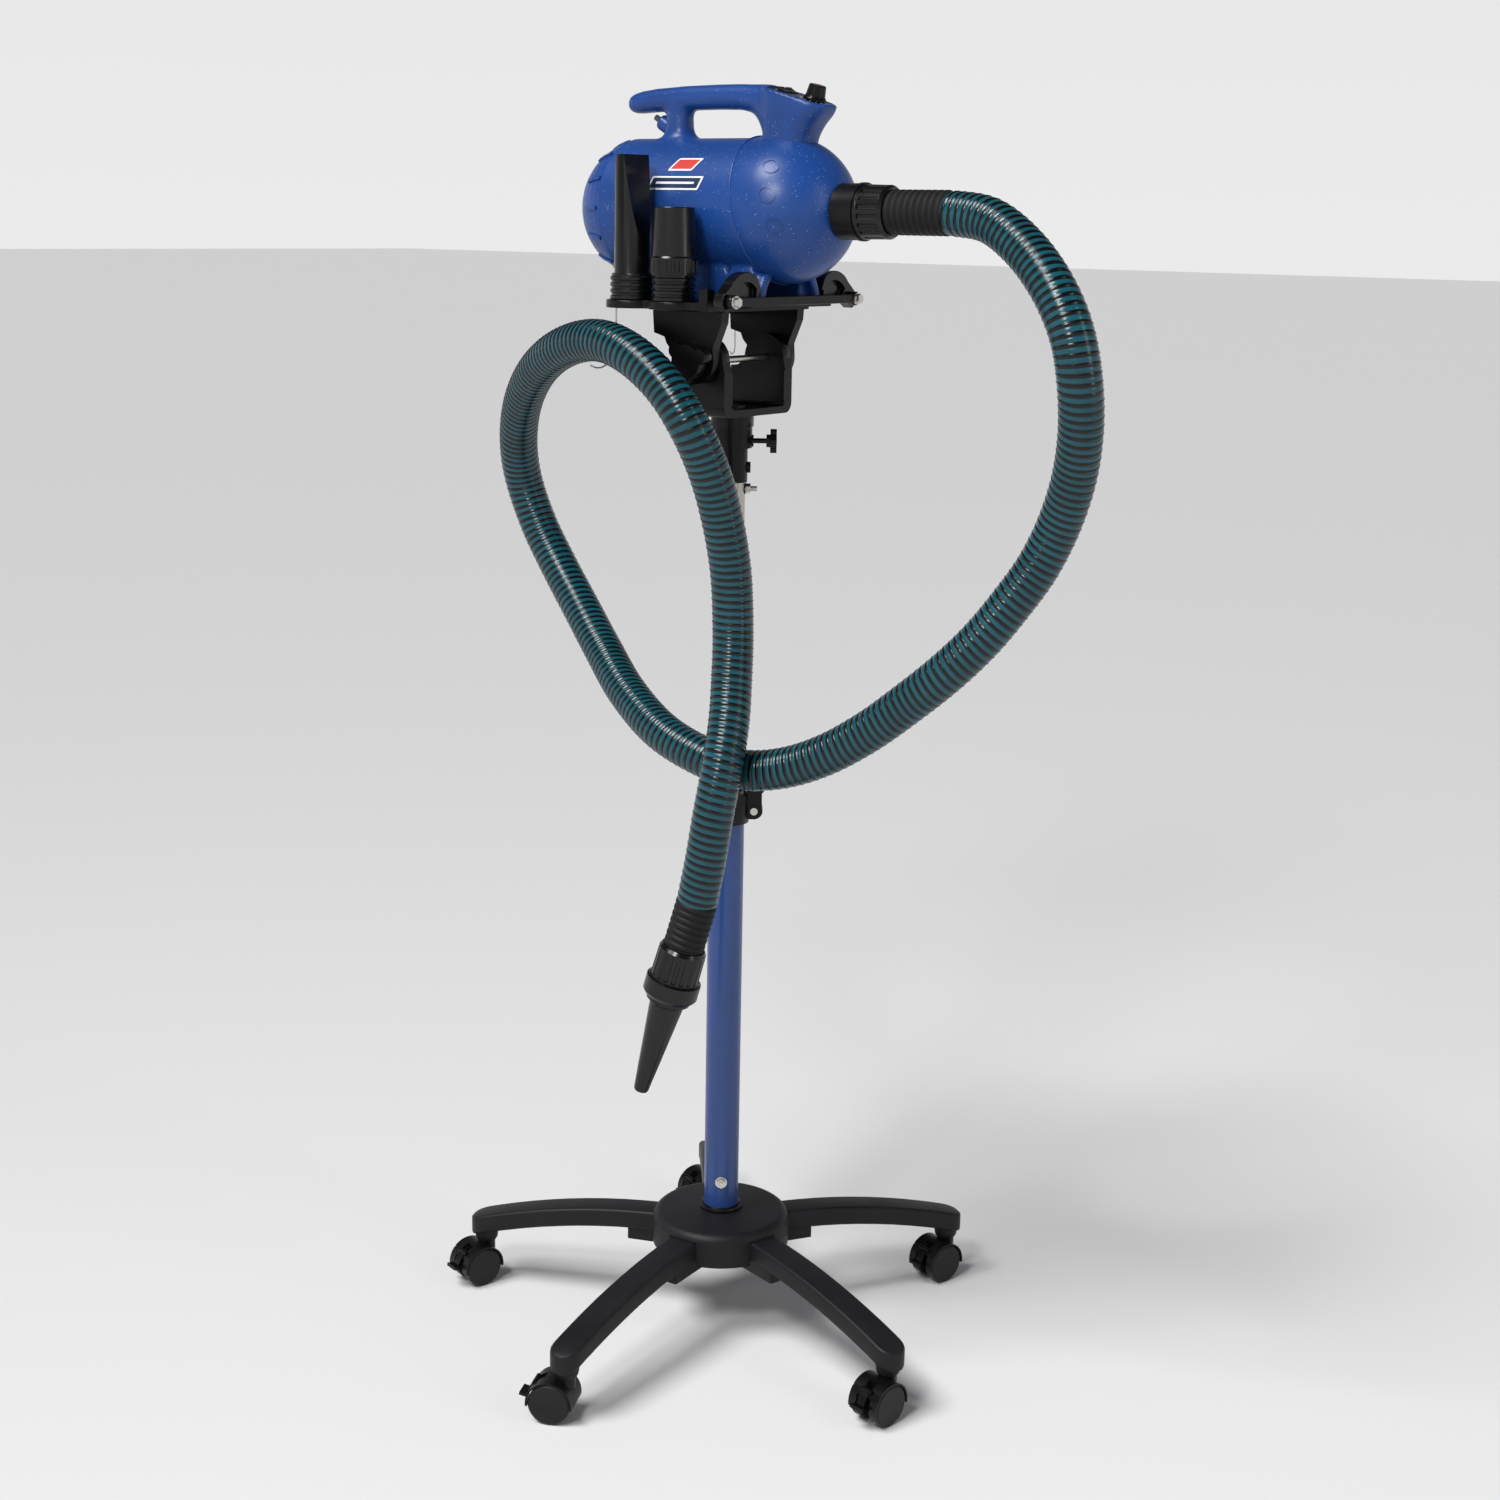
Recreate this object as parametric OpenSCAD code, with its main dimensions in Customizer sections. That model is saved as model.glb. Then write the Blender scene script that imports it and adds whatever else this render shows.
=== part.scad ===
// Force dryer for pet grooming on a height-adjustable stand with five casters.
// Origin: on the post axis at floor level. +Z up, +X along the dryer towards its outlet.

/* [Stand] */
// Radius of the circle through the caster stems
star_r = 319; // [300:1:330]
// Height of the arch of each arm at the hub
arm_top_z = 132; // [130:1:136]
// Width of each arm
arm_w = 38; // [30:1:42]
// Radius of the hub
hub_r = 86; // [80:1:95]
// Outer diameter of the lower tube
tube_od = 43; // [42:1:46]
// Height of the lower tube's upper end
tube_top_z = 682; // [640:1:700]
// Outer diameter of the sliding mast
mast_od = 32; // [28:1:34]
// Height of the mast's upper end
mast_top_z = 1120; // [1110:1:1122]
// Diameter of the caster wheels
wheel_d = 50; // [46:1:52]

/* [Bracket] */
// Height of the tilt axis
tilt_z = 1206; // [1200:1:1212]
// How far the tilt axis sits ahead of the post
tilt_x = 6; // [0:1:8]
// Clear width between the yoke's cheeks
yoke_gap = 104; // [100:1:106]
// Thickness of each cheek
cheek_t = 14; // [10:1:14]

/* [Dryer] */
// Height of the dryer's axis
axis_z = 1373; // [1372:1:1375]
// Outer radius of the body
body_r = 79; // [76:1:80]
// Where the rear dome begins
rear_x = -125; // [-130:1:-120]
// Where the front dome begins
front_x = 72; // [70:1:75]
// Wall thickness of the moulded shells
wall = 3; // [2.5:0.5:3.5]

/* [Hose] */
// Outer diameter of the hose
hose_od = 49; // [45:1:50]

/* [Hidden] */

$fn = 64;
black = "#1d1c1e";
blue = "#2f5aa0";
steel = "#b9b7b2";
run_fit = 0.05;
mate_gap = 0.3;
view_turn = 36;
face_turn = view_turn - 90;

tube_r = tube_od / 2;
tube_wall = 1.6;
mast_r = mast_od / 2;
mast_wall = 1.5;
mast_foot_z = 400;
wheel_r = wheel_d / 2;
arm_turn = -15;
arm_angles = [for (k = [0:4]) arm_turn + 72 * k];
caster_heading = [261, 254, 250, 254, 204];

arm_inner_r = 36;
arm_depth = 25;
arm_drop = 0.00058;
hub_skirt_z = 101;
stem_r = 5.5;
stem_top_z = 88;
caster_trail = 16;
axle_r = 3;
brake_open = 12;
brake_xz = 20.2;
brake_pin_r = 1.2;

cheek_in = yoke_gap / 2;
cheek_out = cheek_in + cheek_t;
yoke_front = 37;
yoke_rear = -42;
yoke_floor_z = 1143;
ear_in = cheek_out + 0.5;
ear_t = 13;
ear_out = ear_in + ear_t;
deck_z = 1262;
deck_t = 8;
deck_half = 86;
pivot_r = 4;

rear_split_x = -138;
front_split_x = 53;
front_split_tilt = 12;
outlet_x = 146;
ring_face_x = 178;
nut_end_x = 214;
cuff_end_x = 286.7;
cuff_r = 24.2;
sleeve_r = 23;
hose_bore_r = 19;

ring_pitch = 60;
ring_x = -5;
ring_y = -106;
caddy_top_z = 1273;
caddy_h = 9;
socket_r = 23;
hang_x = -104;
hang_y = -86.5;
hang_z = 1226;
hang_r = 31;

panel_slope = 15;
panel_x = 48;
panel_z = 1507;

// Centre line of the free hose, from the cuff at the outlet to the cuff at its tip.
hose_route = [
    [287, 0, 1373], [338, -6, 1366], [389, -20, 1338], [432, -36, 1300],
    [460, -44, 1257], [470, -40, 1210], [466, -24, 1159], [452, -6, 1107],
    [432, 4, 1055], [410, 2, 1007], [385, -8, 965], [356, -20, 923],
    [320, -31, 883], [275, -37, 843], [227, -44, 804], [176, -54, 771],
    [125, -65, 750], [75, -77, 743], [22, -80, 751], [-48, -70, 770],
    [-127, -36, 800], [-198, 3, 838], [-258, 30, 882], [-309, 46, 929],
    [-346, 50, 979], [-364, 42, 1036], [-352, 20, 1088], [-311, -16, 1140],
    [-249, -57, 1184], [-177, -93, 1214], [-107, -117, 1226], [-47, -133, 1215],
    [6, -139, 1184], [41, -137, 1142], [54, -117, 1093], [58, -96, 1038],
    [61, -81, 973], [64, -79, 903], [71, -90, 848], [80, -106, 805],
    [86, -125, 759], [83, -137, 704], [76, -142, 647], [67, -145, 597]
];
tip_start = [67, -145, 597];
tip_yaw = 203;
tip_pitch = 74.5;

// ---------- shared shapes ----------

module round_rect(w, h, r) {
    square([w - 2 * r, h], center = true);
    square([w, h - 2 * r], center = true);
    for (sx = [-1, 1], sy = [-1, 1])
        translate([sx * (w / 2 - r), sy * (h / 2 - r)]) circle(r = r);
}

module along_x(x, r, h) {
    translate([x, 0, 0]) rotate([0, 90, 0]) cylinder(r = r, h = h);
}

module hex_bolt(r, head_r, head_h) {
    cylinder(r = head_r, h = head_h, $fn = 6);
    translate([0, 0, head_h - 0.4]) cylinder(r = r, h = 2);
}

module star_knob(r, lobes, lobe_r, h) {
    cylinder(r = r - lobe_r, h = h);
    for (k = [0:lobes - 1])
        rotate([0, 0, 360 / lobes * k]) {
            translate([r - lobe_r, 0, 0]) cylinder(r = lobe_r, h = h);
            translate([0, -lobe_r, 0]) cube([r - lobe_r, 2 * lobe_r, h]);
        }
}

// Points of an arc about (cx, cy).
function arc(cx, cy, r, from, to, n) =
    [for (k = [0:n]) let (a = from + (to - from) * k / n) [cx + r * cos(a), cy + r * sin(a)]];

// Unit vector helper for the swept hose.
function unit(v) = v / norm(v);

// Catmull-Rom point between four route points.
function spline(a, b, c, d, t) =
    0.5 * (2 * b + (c - a) * t + (2 * a - 5 * b + 4 * c - d) * t * t
        + (3 * b - a - 3 * c + d) * t * t * t);

// ---------- base ----------

function arm_top(r) = arm_top_z - arm_drop * pow(max(r - 60, 0), 2);

module arm() {
    steps = 14;
    tip_r = star_r + arm_w / 2;
    top = [for (k = [0:steps]) let (r = arm_inner_r + (tip_r - arm_inner_r) * k / steps)
        [r, arm_top(r)]];
    low = [for (k = [steps:-1:0]) let (r = arm_inner_r + (tip_r - arm_inner_r) * k / steps)
        [r, arm_top(r) - arm_depth]];
    difference() {
        intersection() {
            translate([0, arm_w / 2, 0]) rotate([90, 0, 0])
                linear_extrude(arm_w) polygon(concat(top, low));
            translate([0, 0, 50]) linear_extrude(100) {
                translate([star_r, 0]) circle(d = arm_w);
                translate([arm_inner_r - 1, -arm_w / 2])
                    square([star_r - arm_inner_r + 1, arm_w]);
            }
        }
        translate([star_r, 0, 50]) cylinder(r = stem_r + run_fit, h = stem_top_z - 49);
    }
    translate([60, -arm_w / 2 + 4, 90]) cube([60, arm_w - 8, 20]);
}

module base_arms() {
    color(black)
        for (a = arm_angles) rotate([0, 0, a]) arm();
}

module base_hub() {
    shell_t = 5;
    inner_r = hub_r - shell_t;
    outline = concat(
        [[tube_r, 104], [tube_r + 12, 104], [tube_r + 12, 139], [inner_r, 139]],
        [[inner_r, hub_skirt_z], [hub_r, hub_skirt_z]],
        arc(hub_r - 12, 131, 12, 0, 80, 8),
        [[tube_r, 146]]
    );
    color(black) difference() {
        rotate_extrude($fn = 96) polygon(outline);
        for (a = arm_angles) rotate([0, 0, a])
            translate([arm_inner_r - 1, -arm_w / 2 - 0.2, 90]) cube([70, arm_w + 0.4, arm_top_z - 89.8]);
    }
}

module lower_tube() {
    bolt_z = 187;
    color(blue) difference() {
        translate([0, 0, 104]) cylinder(r = tube_r, h = tube_top_z - 104);
        translate([0, 0, 103]) cylinder(r = tube_r - tube_wall, h = tube_top_z);
        translate([0, 0, bolt_z]) rotate([90, 0, face_turn + 90])
            cylinder(r = 3.1, h = 60, center = true);
    }
}

module base_ring() {
    color(black) translate([0, 0, 146]) rotate_extrude()
        polygon([[tube_r, 0], [26.5, 0], [26.5, 3], [25.5, 5], [tube_r, 6]]);
}

module tube_bolt() {
    color(steel) rotate([0, 0, face_turn]) translate([0, 0, 187]) {
        rotate([0, 90, 0]) cylinder(r = 3, h = 60, center = true);
        translate([tube_r, 0, 0]) rotate([0, 90, 0]) cylinder(r = 7.5, h = 1.5);
        translate([tube_r + 1.5, 0, 0]) rotate([0, 90, 0]) cylinder(r = 6, h = 5, $fn = 6);
        translate([-tube_r - 5, 0, 0]) rotate([0, 90, 0]) cylinder(r = 6, h = 5, $fn = 6);
    }
}

module guide_bush() {
    color(black) difference() {
        union() {
            translate([0, 0, 642]) cylinder(r = tube_r - tube_wall, h = tube_top_z - 642);
            translate([0, 0, tube_top_z]) cylinder(r = tube_r, h = 3);
        }
        translate([0, 0, 641]) cylinder(r = mast_r + run_fit, h = 60);
    }
}

// ---------- height clamp ----------

lug_x = 33;
lug_gap = 3;
lug_low_z = 667;
lug_high_z = 702;

module lug_outline() {
    translate([lug_x, lug_low_z]) circle(r = 10.5);
    translate([lug_x, lug_high_z]) circle(r = 12.5);
    translate([20, 656.5]) square([13, 36]);
    translate([lug_x - 12.5, lug_low_z + 6]) square([22, 22]);
}

module height_collar() {
    plate_t = 8;
    color(black) difference() {
        rotate([0, 0, view_turn]) difference() {
            union() {
                translate([0, 0, 652]) cylinder(r = 27, h = 38);
                for (side = [0, 1]) mirror([0, side, 0])
                    translate([0, lug_gap / 2 + plate_t, 0]) rotate([90, 0, 0])
                        linear_extrude(plate_t) lug_outline();
            }
            translate([10, -lug_gap / 2, 640]) cube([60, lug_gap, 90]);
            for (z = [lug_low_z, lug_high_z]) translate([lug_x, 0, z])
                rotate([90, 0, 0]) cylinder(r = 3 + run_fit, h = 60, center = true);
        }
        translate([0, 0, 640]) cylinder(r = tube_r, h = tube_top_z + 3 - 640);
        translate([0, 0, 640]) cylinder(r = mast_r + 1, h = 90);
    }
}

module clamp_bolt() {
    color(steel) rotate([0, 0, view_turn]) translate([lug_x, 0, lug_low_z]) rotate([90, 0, 0]) {
        translate([0, 0, -16]) cylinder(r = 3, h = 27);
        translate([0, 0, 9.5]) cylinder(r = 4.5, h = 3);
        translate([0, 0, -14.5]) cylinder(r = 5.5, h = 5, $fn = 6);
    }
}

module height_knob() {
    rotate([0, 0, view_turn]) translate([lug_x, 0, lug_high_z]) rotate([90, 0, 0]) {
        color(steel) translate([0, 0, -18]) cylinder(r = 3, h = 29);
        color(steel) translate([0, 0, -14.6]) cylinder(r = 5.5, h = 4.8, $fn = 6);
        color(black) translate([0, 0, 9.8]) difference() {
            cylinder(r = 14, h = 10);
            translate([0, 0, 8.5]) cylinder(r = 10.5, h = 3);
            translate([0, 0, -1]) cylinder(r = 3, h = 2.2);
        }
        color(steel) translate([0, 0, 18.3]) cylinder(r = 10.5, h = 0.8);
    }
}

// ---------- mast and swivel ----------

module mast_tube() {
    color(steel) difference() {
        translate([0, 0, mast_foot_z]) cylinder(r = mast_r, h = mast_top_z - mast_foot_z);
        translate([0, 0, mast_foot_z - 1]) cylinder(r = mast_r - mast_wall, h = 800);
        translate([0, 0, 1056]) rotate([0, 90, view_turn])
            cylinder(r = 3.1, h = 60, center = true);
    }
}

module stop_bolt() {
    color(steel) rotate([0, 0, view_turn]) translate([0, 0, 1056]) rotate([0, 90, 0]) {
        translate([0, 0, -22]) cylinder(r = 3, h = 52);
        translate([0, 0, mast_r]) cylinder(r = 6.6, h = 1.4);
        translate([0, 0, mast_r + 1.4]) cylinder(r = 6, h = 5, $fn = 6);
        translate([0, 0, -mast_r - 5]) cylinder(r = 6, h = 5, $fn = 6);
    }
}

module mount_collar() {
    low_z = 1064;
    step_z = 1104;
    top_z = 1129;
    color(black) difference() {
        union() {
            translate([0, 0, low_z]) cylinder(r = 18.5, h = step_z - low_z + 1);
            translate([0, 0, step_z]) cylinder(r = 23.5, h = top_z - step_z);
            rotate([0, 0, view_turn]) {
                translate([10, 0, 1112]) rotate([0, 90, 0]) cylinder(r = 7, h = 15);
                translate([10, 0, 1081]) rotate([0, 90, 0]) cylinder(r = 6.5, h = 12);
            }
        }
        translate([0, 0, low_z - 1]) cylinder(r = mast_r + run_fit, h = mast_top_z + 1.2 - low_z);
        rotate([0, 0, view_turn]) translate([0, 0, 1112])
            rotate([0, 90, 0]) cylinder(r = 3 + run_fit, h = 60);
    }
}

module swivel_knob() {
    rotate([0, 0, view_turn]) translate([0, 0, 1112]) rotate([0, 90, 0]) {
        color(steel) translate([0, 0, mast_r + 0.3]) cylinder(r = 3, h = 28);
        color(black) difference() {
            translate([0, 0, 40]) union() {
                cylinder(r = 7.5, h = 6);
                translate([0, 0, 4.5]) star_knob(14, 4, 4.5, 7.5);
            }
            translate([0, 0, 39]) cylinder(r = 3, h = 5.3);
        }
    }
}

module cheek_outline(top_r) {
    translate([tilt_x, tilt_z]) circle(r = top_r);
    polygon([
        [yoke_rear, yoke_floor_z + 12], [yoke_front, yoke_floor_z + 12],
        [yoke_front, yoke_floor_z + 50], [tilt_x + top_r, tilt_z], [tilt_x - top_r, tilt_z],
        [-30, yoke_floor_z + 54], [yoke_rear, yoke_floor_z + 48]
    ]);
}

module yoke() {
    floor_t = 8;
    corner = 12;
    yoke_len = yoke_front - yoke_rear;
    height = 52;
    color(black) difference() {
        union() {
            // floor and cheeks up to their straight edge
            translate([yoke_rear, 0, yoke_floor_z + height / 2 + 10]) rotate([90, 0, 90])
                linear_extrude(yoke_len) difference() {
                    translate([0, -10]) difference() {
                        union() {
                            round_rect(2 * cheek_out, height, corner);
                            translate([-cheek_out, 0]) square([2 * cheek_out, height / 2]);
                        }
                        translate([0, floor_t + 20])
                            round_rect(2 * cheek_in, height + 40, 5);
                    }
                }
            // rounded heads that carry the pivot
            for (side = [-1, 1]) translate([0, side * (cheek_in + cheek_t / 2) + cheek_t / 2, 0])
                rotate([90, 0, 0]) linear_extrude(cheek_t) cheek_outline(28);
            // neck on the mount collar
            translate([0, 0, 1129]) cylinder(r = 25, h = 16);
            translate([0, 0, 1145]) cylinder(r = 16, h = 8);
            // raised front lips of both cheeks
            for (side = [-1, 1]) translate([yoke_front - 5, side * (cheek_in - 1) - 1, 1158])
                cube([5, 2, 34]);
        }
        translate([tilt_x, 0, tilt_z]) rotate([90, 0, 0])
            cylinder(r = pivot_r + run_fit, h = 300, center = true);
    }
}

// ---------- cradle ----------

module ear_outline() {
    polygon([
        [-56, deck_z + 1], [43, deck_z + 1], [42, 1250], [30, 1222], [tilt_x + 25, tilt_z],
        [tilt_x + 12, 1183], [tilt_x - 12, 1183], [tilt_x - 25, tilt_z], [-36, 1225],
        [-39, 1232], [-54, 1236]
    ]);
    translate([tilt_x, tilt_z]) circle(r = 25);
}

module cradle() {
    color(black) difference() {
        union() {
            translate([5.5, 0, deck_z]) linear_extrude(deck_t) round_rect(151, 2 * deck_half, 10);
            for (side = [-1, 1]) translate([0, side * (ear_in + ear_t / 2) + ear_t / 2, 0])
                rotate([90, 0, 0]) linear_extrude(ear_t) ear_outline();
            // stiffening rib under the deck
            translate([-52, -ear_in, deck_z - 8]) cube([5, 2 * ear_in, 9]);
            // round pad under the front foot
            translate([54, 0, deck_z + deck_t - 1]) cylinder(r = 24, h = 9);
        }
        // the deck is thinner in front of the ears
        translate([45, -100, deck_z - 10]) cube([60, 200, 15]);
        translate([tilt_x, 0, tilt_z]) rotate([90, 0, 0])
            cylinder(r = pivot_r + 0.5, h = 300, center = true);
        for (k = [0, 1]) translate([ring_x - ring_pitch * k, ring_y, deck_z - 1])
            cylinder(r = 29.3, h = 40);
    }
}

bar_x = 82;
bar_z = 1275;
cam_y = 119;

module front_bar() {
    color(black) difference() {
        union() {
            translate([bar_x, -cam_y - 1, bar_z - 5]) cube([8, 2 * cam_y + 2, 10]);
            for (side = [-1, 1]) translate([bar_x, side * cam_y, bar_z])
                rotate([0, 90, 0]) cylinder(r = 8, h = 8);
        }
        for (side = [-1, 1]) translate([bar_x - 1, side * cam_y, bar_z])
            rotate([0, 90, 0]) cylinder(r = 3 + run_fit, h = 20);
    }
}

// Outline of a clamping cam, pivot at the origin, nose towards +x.
module cam_outline() {
    polygon(concat(
        arc(0, 0, 12, 250, 130, 8),
        arc(33, -4, 36, 140, 62, 10),
        [[54, 24], [60, 12], [56, 8], [56, -4], [8, -4]]
    ));
}

// Hollow in a cam's front face.
module cam_pocket() {
    polygon(concat([[20, 1]], arc(33, -6, 27, 140, 70, 8), [[51, 14], [51, 1]]));
}

module clamp_cam(side) {
    cam_t = 13;
    color(black) translate([bar_x - cam_t - 0.5, side * cam_y, bar_z]) difference() {
        rotate([90, 0, 90]) linear_extrude(cam_t)
            scale([-side, 1]) cam_outline();
        translate([cam_t - 6, 0, 0]) rotate([90, 0, 90]) linear_extrude(10)
            scale([-side, 1]) cam_pocket();
        translate([-1, 0, 0]) rotate([0, 90, 0]) cylinder(r = 3 + run_fit, h = 20);
    }
}

module cam_screws() {
    color(steel) for (side = [-1, 1]) translate([bar_x, side * cam_y, bar_z])
        rotate([0, 90, 0]) {
            translate([0, 0, -18]) cylinder(r = 3, h = 28);
            translate([0, 0, 8.2]) cylinder(r = 7, h = 1.6);
            translate([0, 0, 9.8]) cylinder(r = 5.5, h = 4, $fn = 6);
        }
}

module nozzle_caddy() {
    low_z = caddy_top_z - caddy_h;
    color(black) difference() {
        union() {
            translate([0, 0, low_z]) linear_extrude(caddy_h) {
                for (k = [0, 1]) translate([ring_x - ring_pitch * k, ring_y]) circle(r = 29);
                translate([ring_x - ring_pitch, ring_y - 12]) square([ring_pitch, 24]);
                translate([-62, ring_y]) square([112, -deck_half - ring_y]);
                translate([20, ring_y - 12]) square([34, 26]);
            }
            translate([42, ring_y - 16, low_z]) cube([12, 14, 24]);
            // eyelet of the hose hanger
            translate([hang_x - 6, hang_y - 6, caddy_top_z - 4]) cube([21, 12, 4]);
        }
        for (k = [0, 1]) translate([ring_x - ring_pitch * k, ring_y, low_z - 1])
            cylinder(r = socket_r, h = 40);
        translate([hang_x, hang_y, low_z - 1]) cylinder(r = 3, h = 40);
    }
}

module pivot_bolt() {
    color(steel) translate([tilt_x, 0, tilt_z]) rotate([90, 0, 0]) {
        cylinder(r = pivot_r, h = 2 * ear_out + 20, center = true);
        translate([0, 0, -ear_out - 8]) cylinder(r = 7, h = 8, $fn = 6);
    }
    color(black) translate([tilt_x, ear_out + 8, tilt_z]) rotate([-90, 0, 0])
        cylinder(r = 9, h = 8);
}

module tilt_knob() {
    color(black) translate([tilt_x, -ear_out - 0.4, tilt_z]) rotate([90, -20, 0])
        difference() {
            union() {
                cylinder(r = 13, h = 14);
                translate([0, 0, 5]) star_knob(28, 3, 8.5, 14);
            }
            translate([0, 0, -1]) cylinder(r = pivot_r + run_fit, h = 12);
        }
}

// ---------- dryer shells ----------

// Half outline of the body: rear dome, barrel, front dome; [radius, place along the axis].
function body_outline(r) = concat(
    [[0, rear_x - r]],
    [for (k = [1:11]) let (a = 90 * k / 12) [r * sin(a), rear_x - r * cos(a)]],
    [[r, rear_x], [r, front_x]],
    [for (k = [1:11]) let (a = 90 * k / 12) [r * cos(a), front_x + r * sin(a)]],
    [[0, front_x + r]]
);

module body_solid(r) {
    translate([0, 0, axis_z]) rotate([0, 90, 0]) rotate_extrude($fn = 96)
        polygon(body_outline(r));
}

module body_shell() {
    difference() {
        body_solid(body_r);
        body_solid(body_r - wall);
    }
}

module front_half_space(gap) {
    translate([front_split_x + gap, 0, axis_z]) rotate([0, -front_split_tilt, 0])
        translate([0, -200, -200]) cube(400);
}

module rear_half_space(gap) {
    translate([rear_split_x - 400 + gap, -200, axis_z - 200]) cube(400);
}

module handle_solid() {
    side_outline = concat(
        arc(-141, 1491.5, 10.5, 270, 110, 8),
        [[-120, 1506], [-90, 1508.5], [-40, 1510], [0, 1509], [panel_x - 4, panel_z + 1]],
        [[panel_x + 80, panel_z - 21], [panel_x + 82, 1479], [124, 1472]],
        [[113, 1463], [104, 1451], [101, 1440], [103, 1420], [44, 1420], [46, 1452]],
        arc(35, 1471, 11, -20, 90, 6),
        [[-30, 1483], [-110, 1482]]
    );
    half_w = 15;
    intersection() {
        translate([0, 60, 0]) rotate([90, 0, 0]) linear_extrude(120) polygon(side_outline);
        translate([0, 0, 1400]) linear_extrude(200) {
            translate([-136, 0]) circle(r = half_w);
            translate([-136, -half_w]) square([190, 2 * half_w]);
            translate([86, 0]) round_rect(90, 56, 20);
        }
    }
    translate([-81, 0, 1430]) cylinder(r = 15, h = 62);
}

module panel_place() {
    translate([panel_x, 0, panel_z]) rotate([0, panel_slope, 0]) children();
}

module foot_rails() {
    for (side = [-1, 1])
        translate([46, side * 52 - 8, deck_z + deck_t]) cube([35, 16, 13]);
    difference() {
        for (side = [-1, 1])
            translate([-92, side * 44 - 9, deck_z + deck_t]) cube([173, 18, 60]);
        translate([54, 0, deck_z]) cylinder(r = 38, h = 26);
    }
}

module main_housing() {
    color(blue) difference() {
        union() {
            difference() {
                body_shell();
                front_half_space(0);
                rear_half_space(0);
            }
            difference() {
                union() {
                    handle_solid();
                    foot_rails();
                }
                body_solid(body_r - wall);
            }
        }
        // seat of the control panel
        panel_place() translate([4, -22, -3]) cube([74, 44, 20]);
        // wells below the switches and the knob
        panel_place() translate([14, -14, -14]) cube([16, 28, 20]);
        panel_place() translate([60, 0, -16]) cylinder(r = 6, h = 20);
        // cord way through the rear post
        translate([-99, 0, 1466]) rotate([0, -60, 0]) translate([0, 0, -16]) cylinder(r = 4, h = 60);
    }
}

module front_cover() {
    color(blue) difference() {
        intersection() {
            body_shell();
            front_half_space(0);
        }
        handle_solid();
        foot_rails();
        translate([outlet_x - 20, 0, axis_z]) rotate([0, 90, 0]) cylinder(r = 27, h = 40);
    }
}

module rear_cover() {
    slots = 20;
    color(blue) difference() {
        union() {
            intersection() {
                body_shell();
                rear_half_space(-mate_gap);
            }
            // spigot that locates the cover in the barrel
            along_x_ring(rear_split_x - 6, 74.6, 2.4, 12);
            // grip ribs round the edge
            intersection() {
                difference() {
                    body_solid(body_r + 2);
                    body_solid(body_r - 1);
                }
                for (k = [0:13]) translate([0, 0, axis_z]) rotate([360 / 14 * k + 13, 0, 0])
                    translate([-166, -2, 50]) cube([24, 4, 40]);
            }
        }
        for (k = [0:slots - 1]) translate([-220, 0, axis_z]) rotate([360 / slots * k, 0, 0])
            translate([0, -2.2, 18]) cube([60, 4.4, 34]);
        body_solid(body_r - wall - 0.6);
    }
}

module along_x_ring(x, r, t, h) {
    translate([x, 0, axis_z]) rotate([0, 90, 0]) difference() {
        cylinder(r = r, h = h, $fn = 96);
        translate([0, 0, -1]) cylinder(r = r - t, h = h + 2, $fn = 96);
    }
}

module air_filter() {
    color("#3a3a3a") translate([rear_split_x - 3, 0, axis_z]) rotate([0, 90, 0])
        cylinder(r = 71.8, h = 12);
}

module control_panel() {
    color(black) panel_place() difference() {
        translate([4.2, -21.8, -2.8]) cube([73.6, 43.6, 2.4]);
        for (side = [-1, 1]) translate([17 - 0.3, side * 6.8 - 5.8, -4]) cube([11.6, 11.6, 6]);
        translate([60, 0, -4]) cylinder(r = 3 + run_fit, h = 6);
    }
}

module speed_knob() {
    color(black) panel_place() translate([60, 0, 0]) difference() {
        union() {
            translate([0, 0, -12]) cylinder(r = 3, h = 13);
            translate([0, 0, 0.2]) rotate_extrude()
                polygon([[0, 0], [13, 0], [13, 2], [11, 4.5], [9.6, 15.5], [8.4, 16.5], [0, 16.5]]);
        }
        for (k = [0:11]) rotate([0, 0, 30 * k]) translate([12.4, 0, 3]) cylinder(r = 1.6, h = 20);
    }
}

module rocker(side) {
    color(black) panel_place() translate([22.5, side * 6.8, 0]) {
        rotate([90, 0, 0]) translate([0, -0.5, -5.5]) linear_extrude(11)
            polygon([[-4.8, -4], [4.8, -4], [5.5, 1.2], [0, 2.4], [-5.5, 4.4]]);
    }
}

module cord_gland() {
    translate([-99, 0, 1466]) rotate([0, -60, 0]) {
        color(blue) difference() {
            translate([0, 0, -4]) cylinder(r = 9, h = 15);
            translate([0, 0, -5]) cylinder(r = 3.4, h = 40);
            translate([0, 0, -9]) cylinder(r = 30, h = 9);
        }
        color("#4a4a4c") difference() {
            translate([0, 0, -2]) cylinder(r = 3.4, h = 22);
            translate([0, 0, -3]) cylinder(r = 2.2, h = 24);
        }
    }
}

// ---------- motor ----------

module motor_case() {
    color("#8c8f92") translate([-82, 0, axis_z]) rotate([0, 90, 0]) difference() {
        cylinder(r = 58, h = 116);
        translate([0, 0, 3]) cylinder(r = 55, h = 110);
        translate([0, 0, -1]) cylinder(r = 20, h = 5);
        for (k = [0:7]) rotate([0, 0, 45 * k]) translate([46, 0, 110]) cylinder(r = 7, h = 10);
        translate([0, 0, 112]) cylinder(r = 5 + run_fit, h = 10);
        for (k = [0:3]) rotate([0, 0, 90 * k + 22.5]) translate([50, 0, 100]) cylinder(r = 2, h = 20);
    }
}

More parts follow.
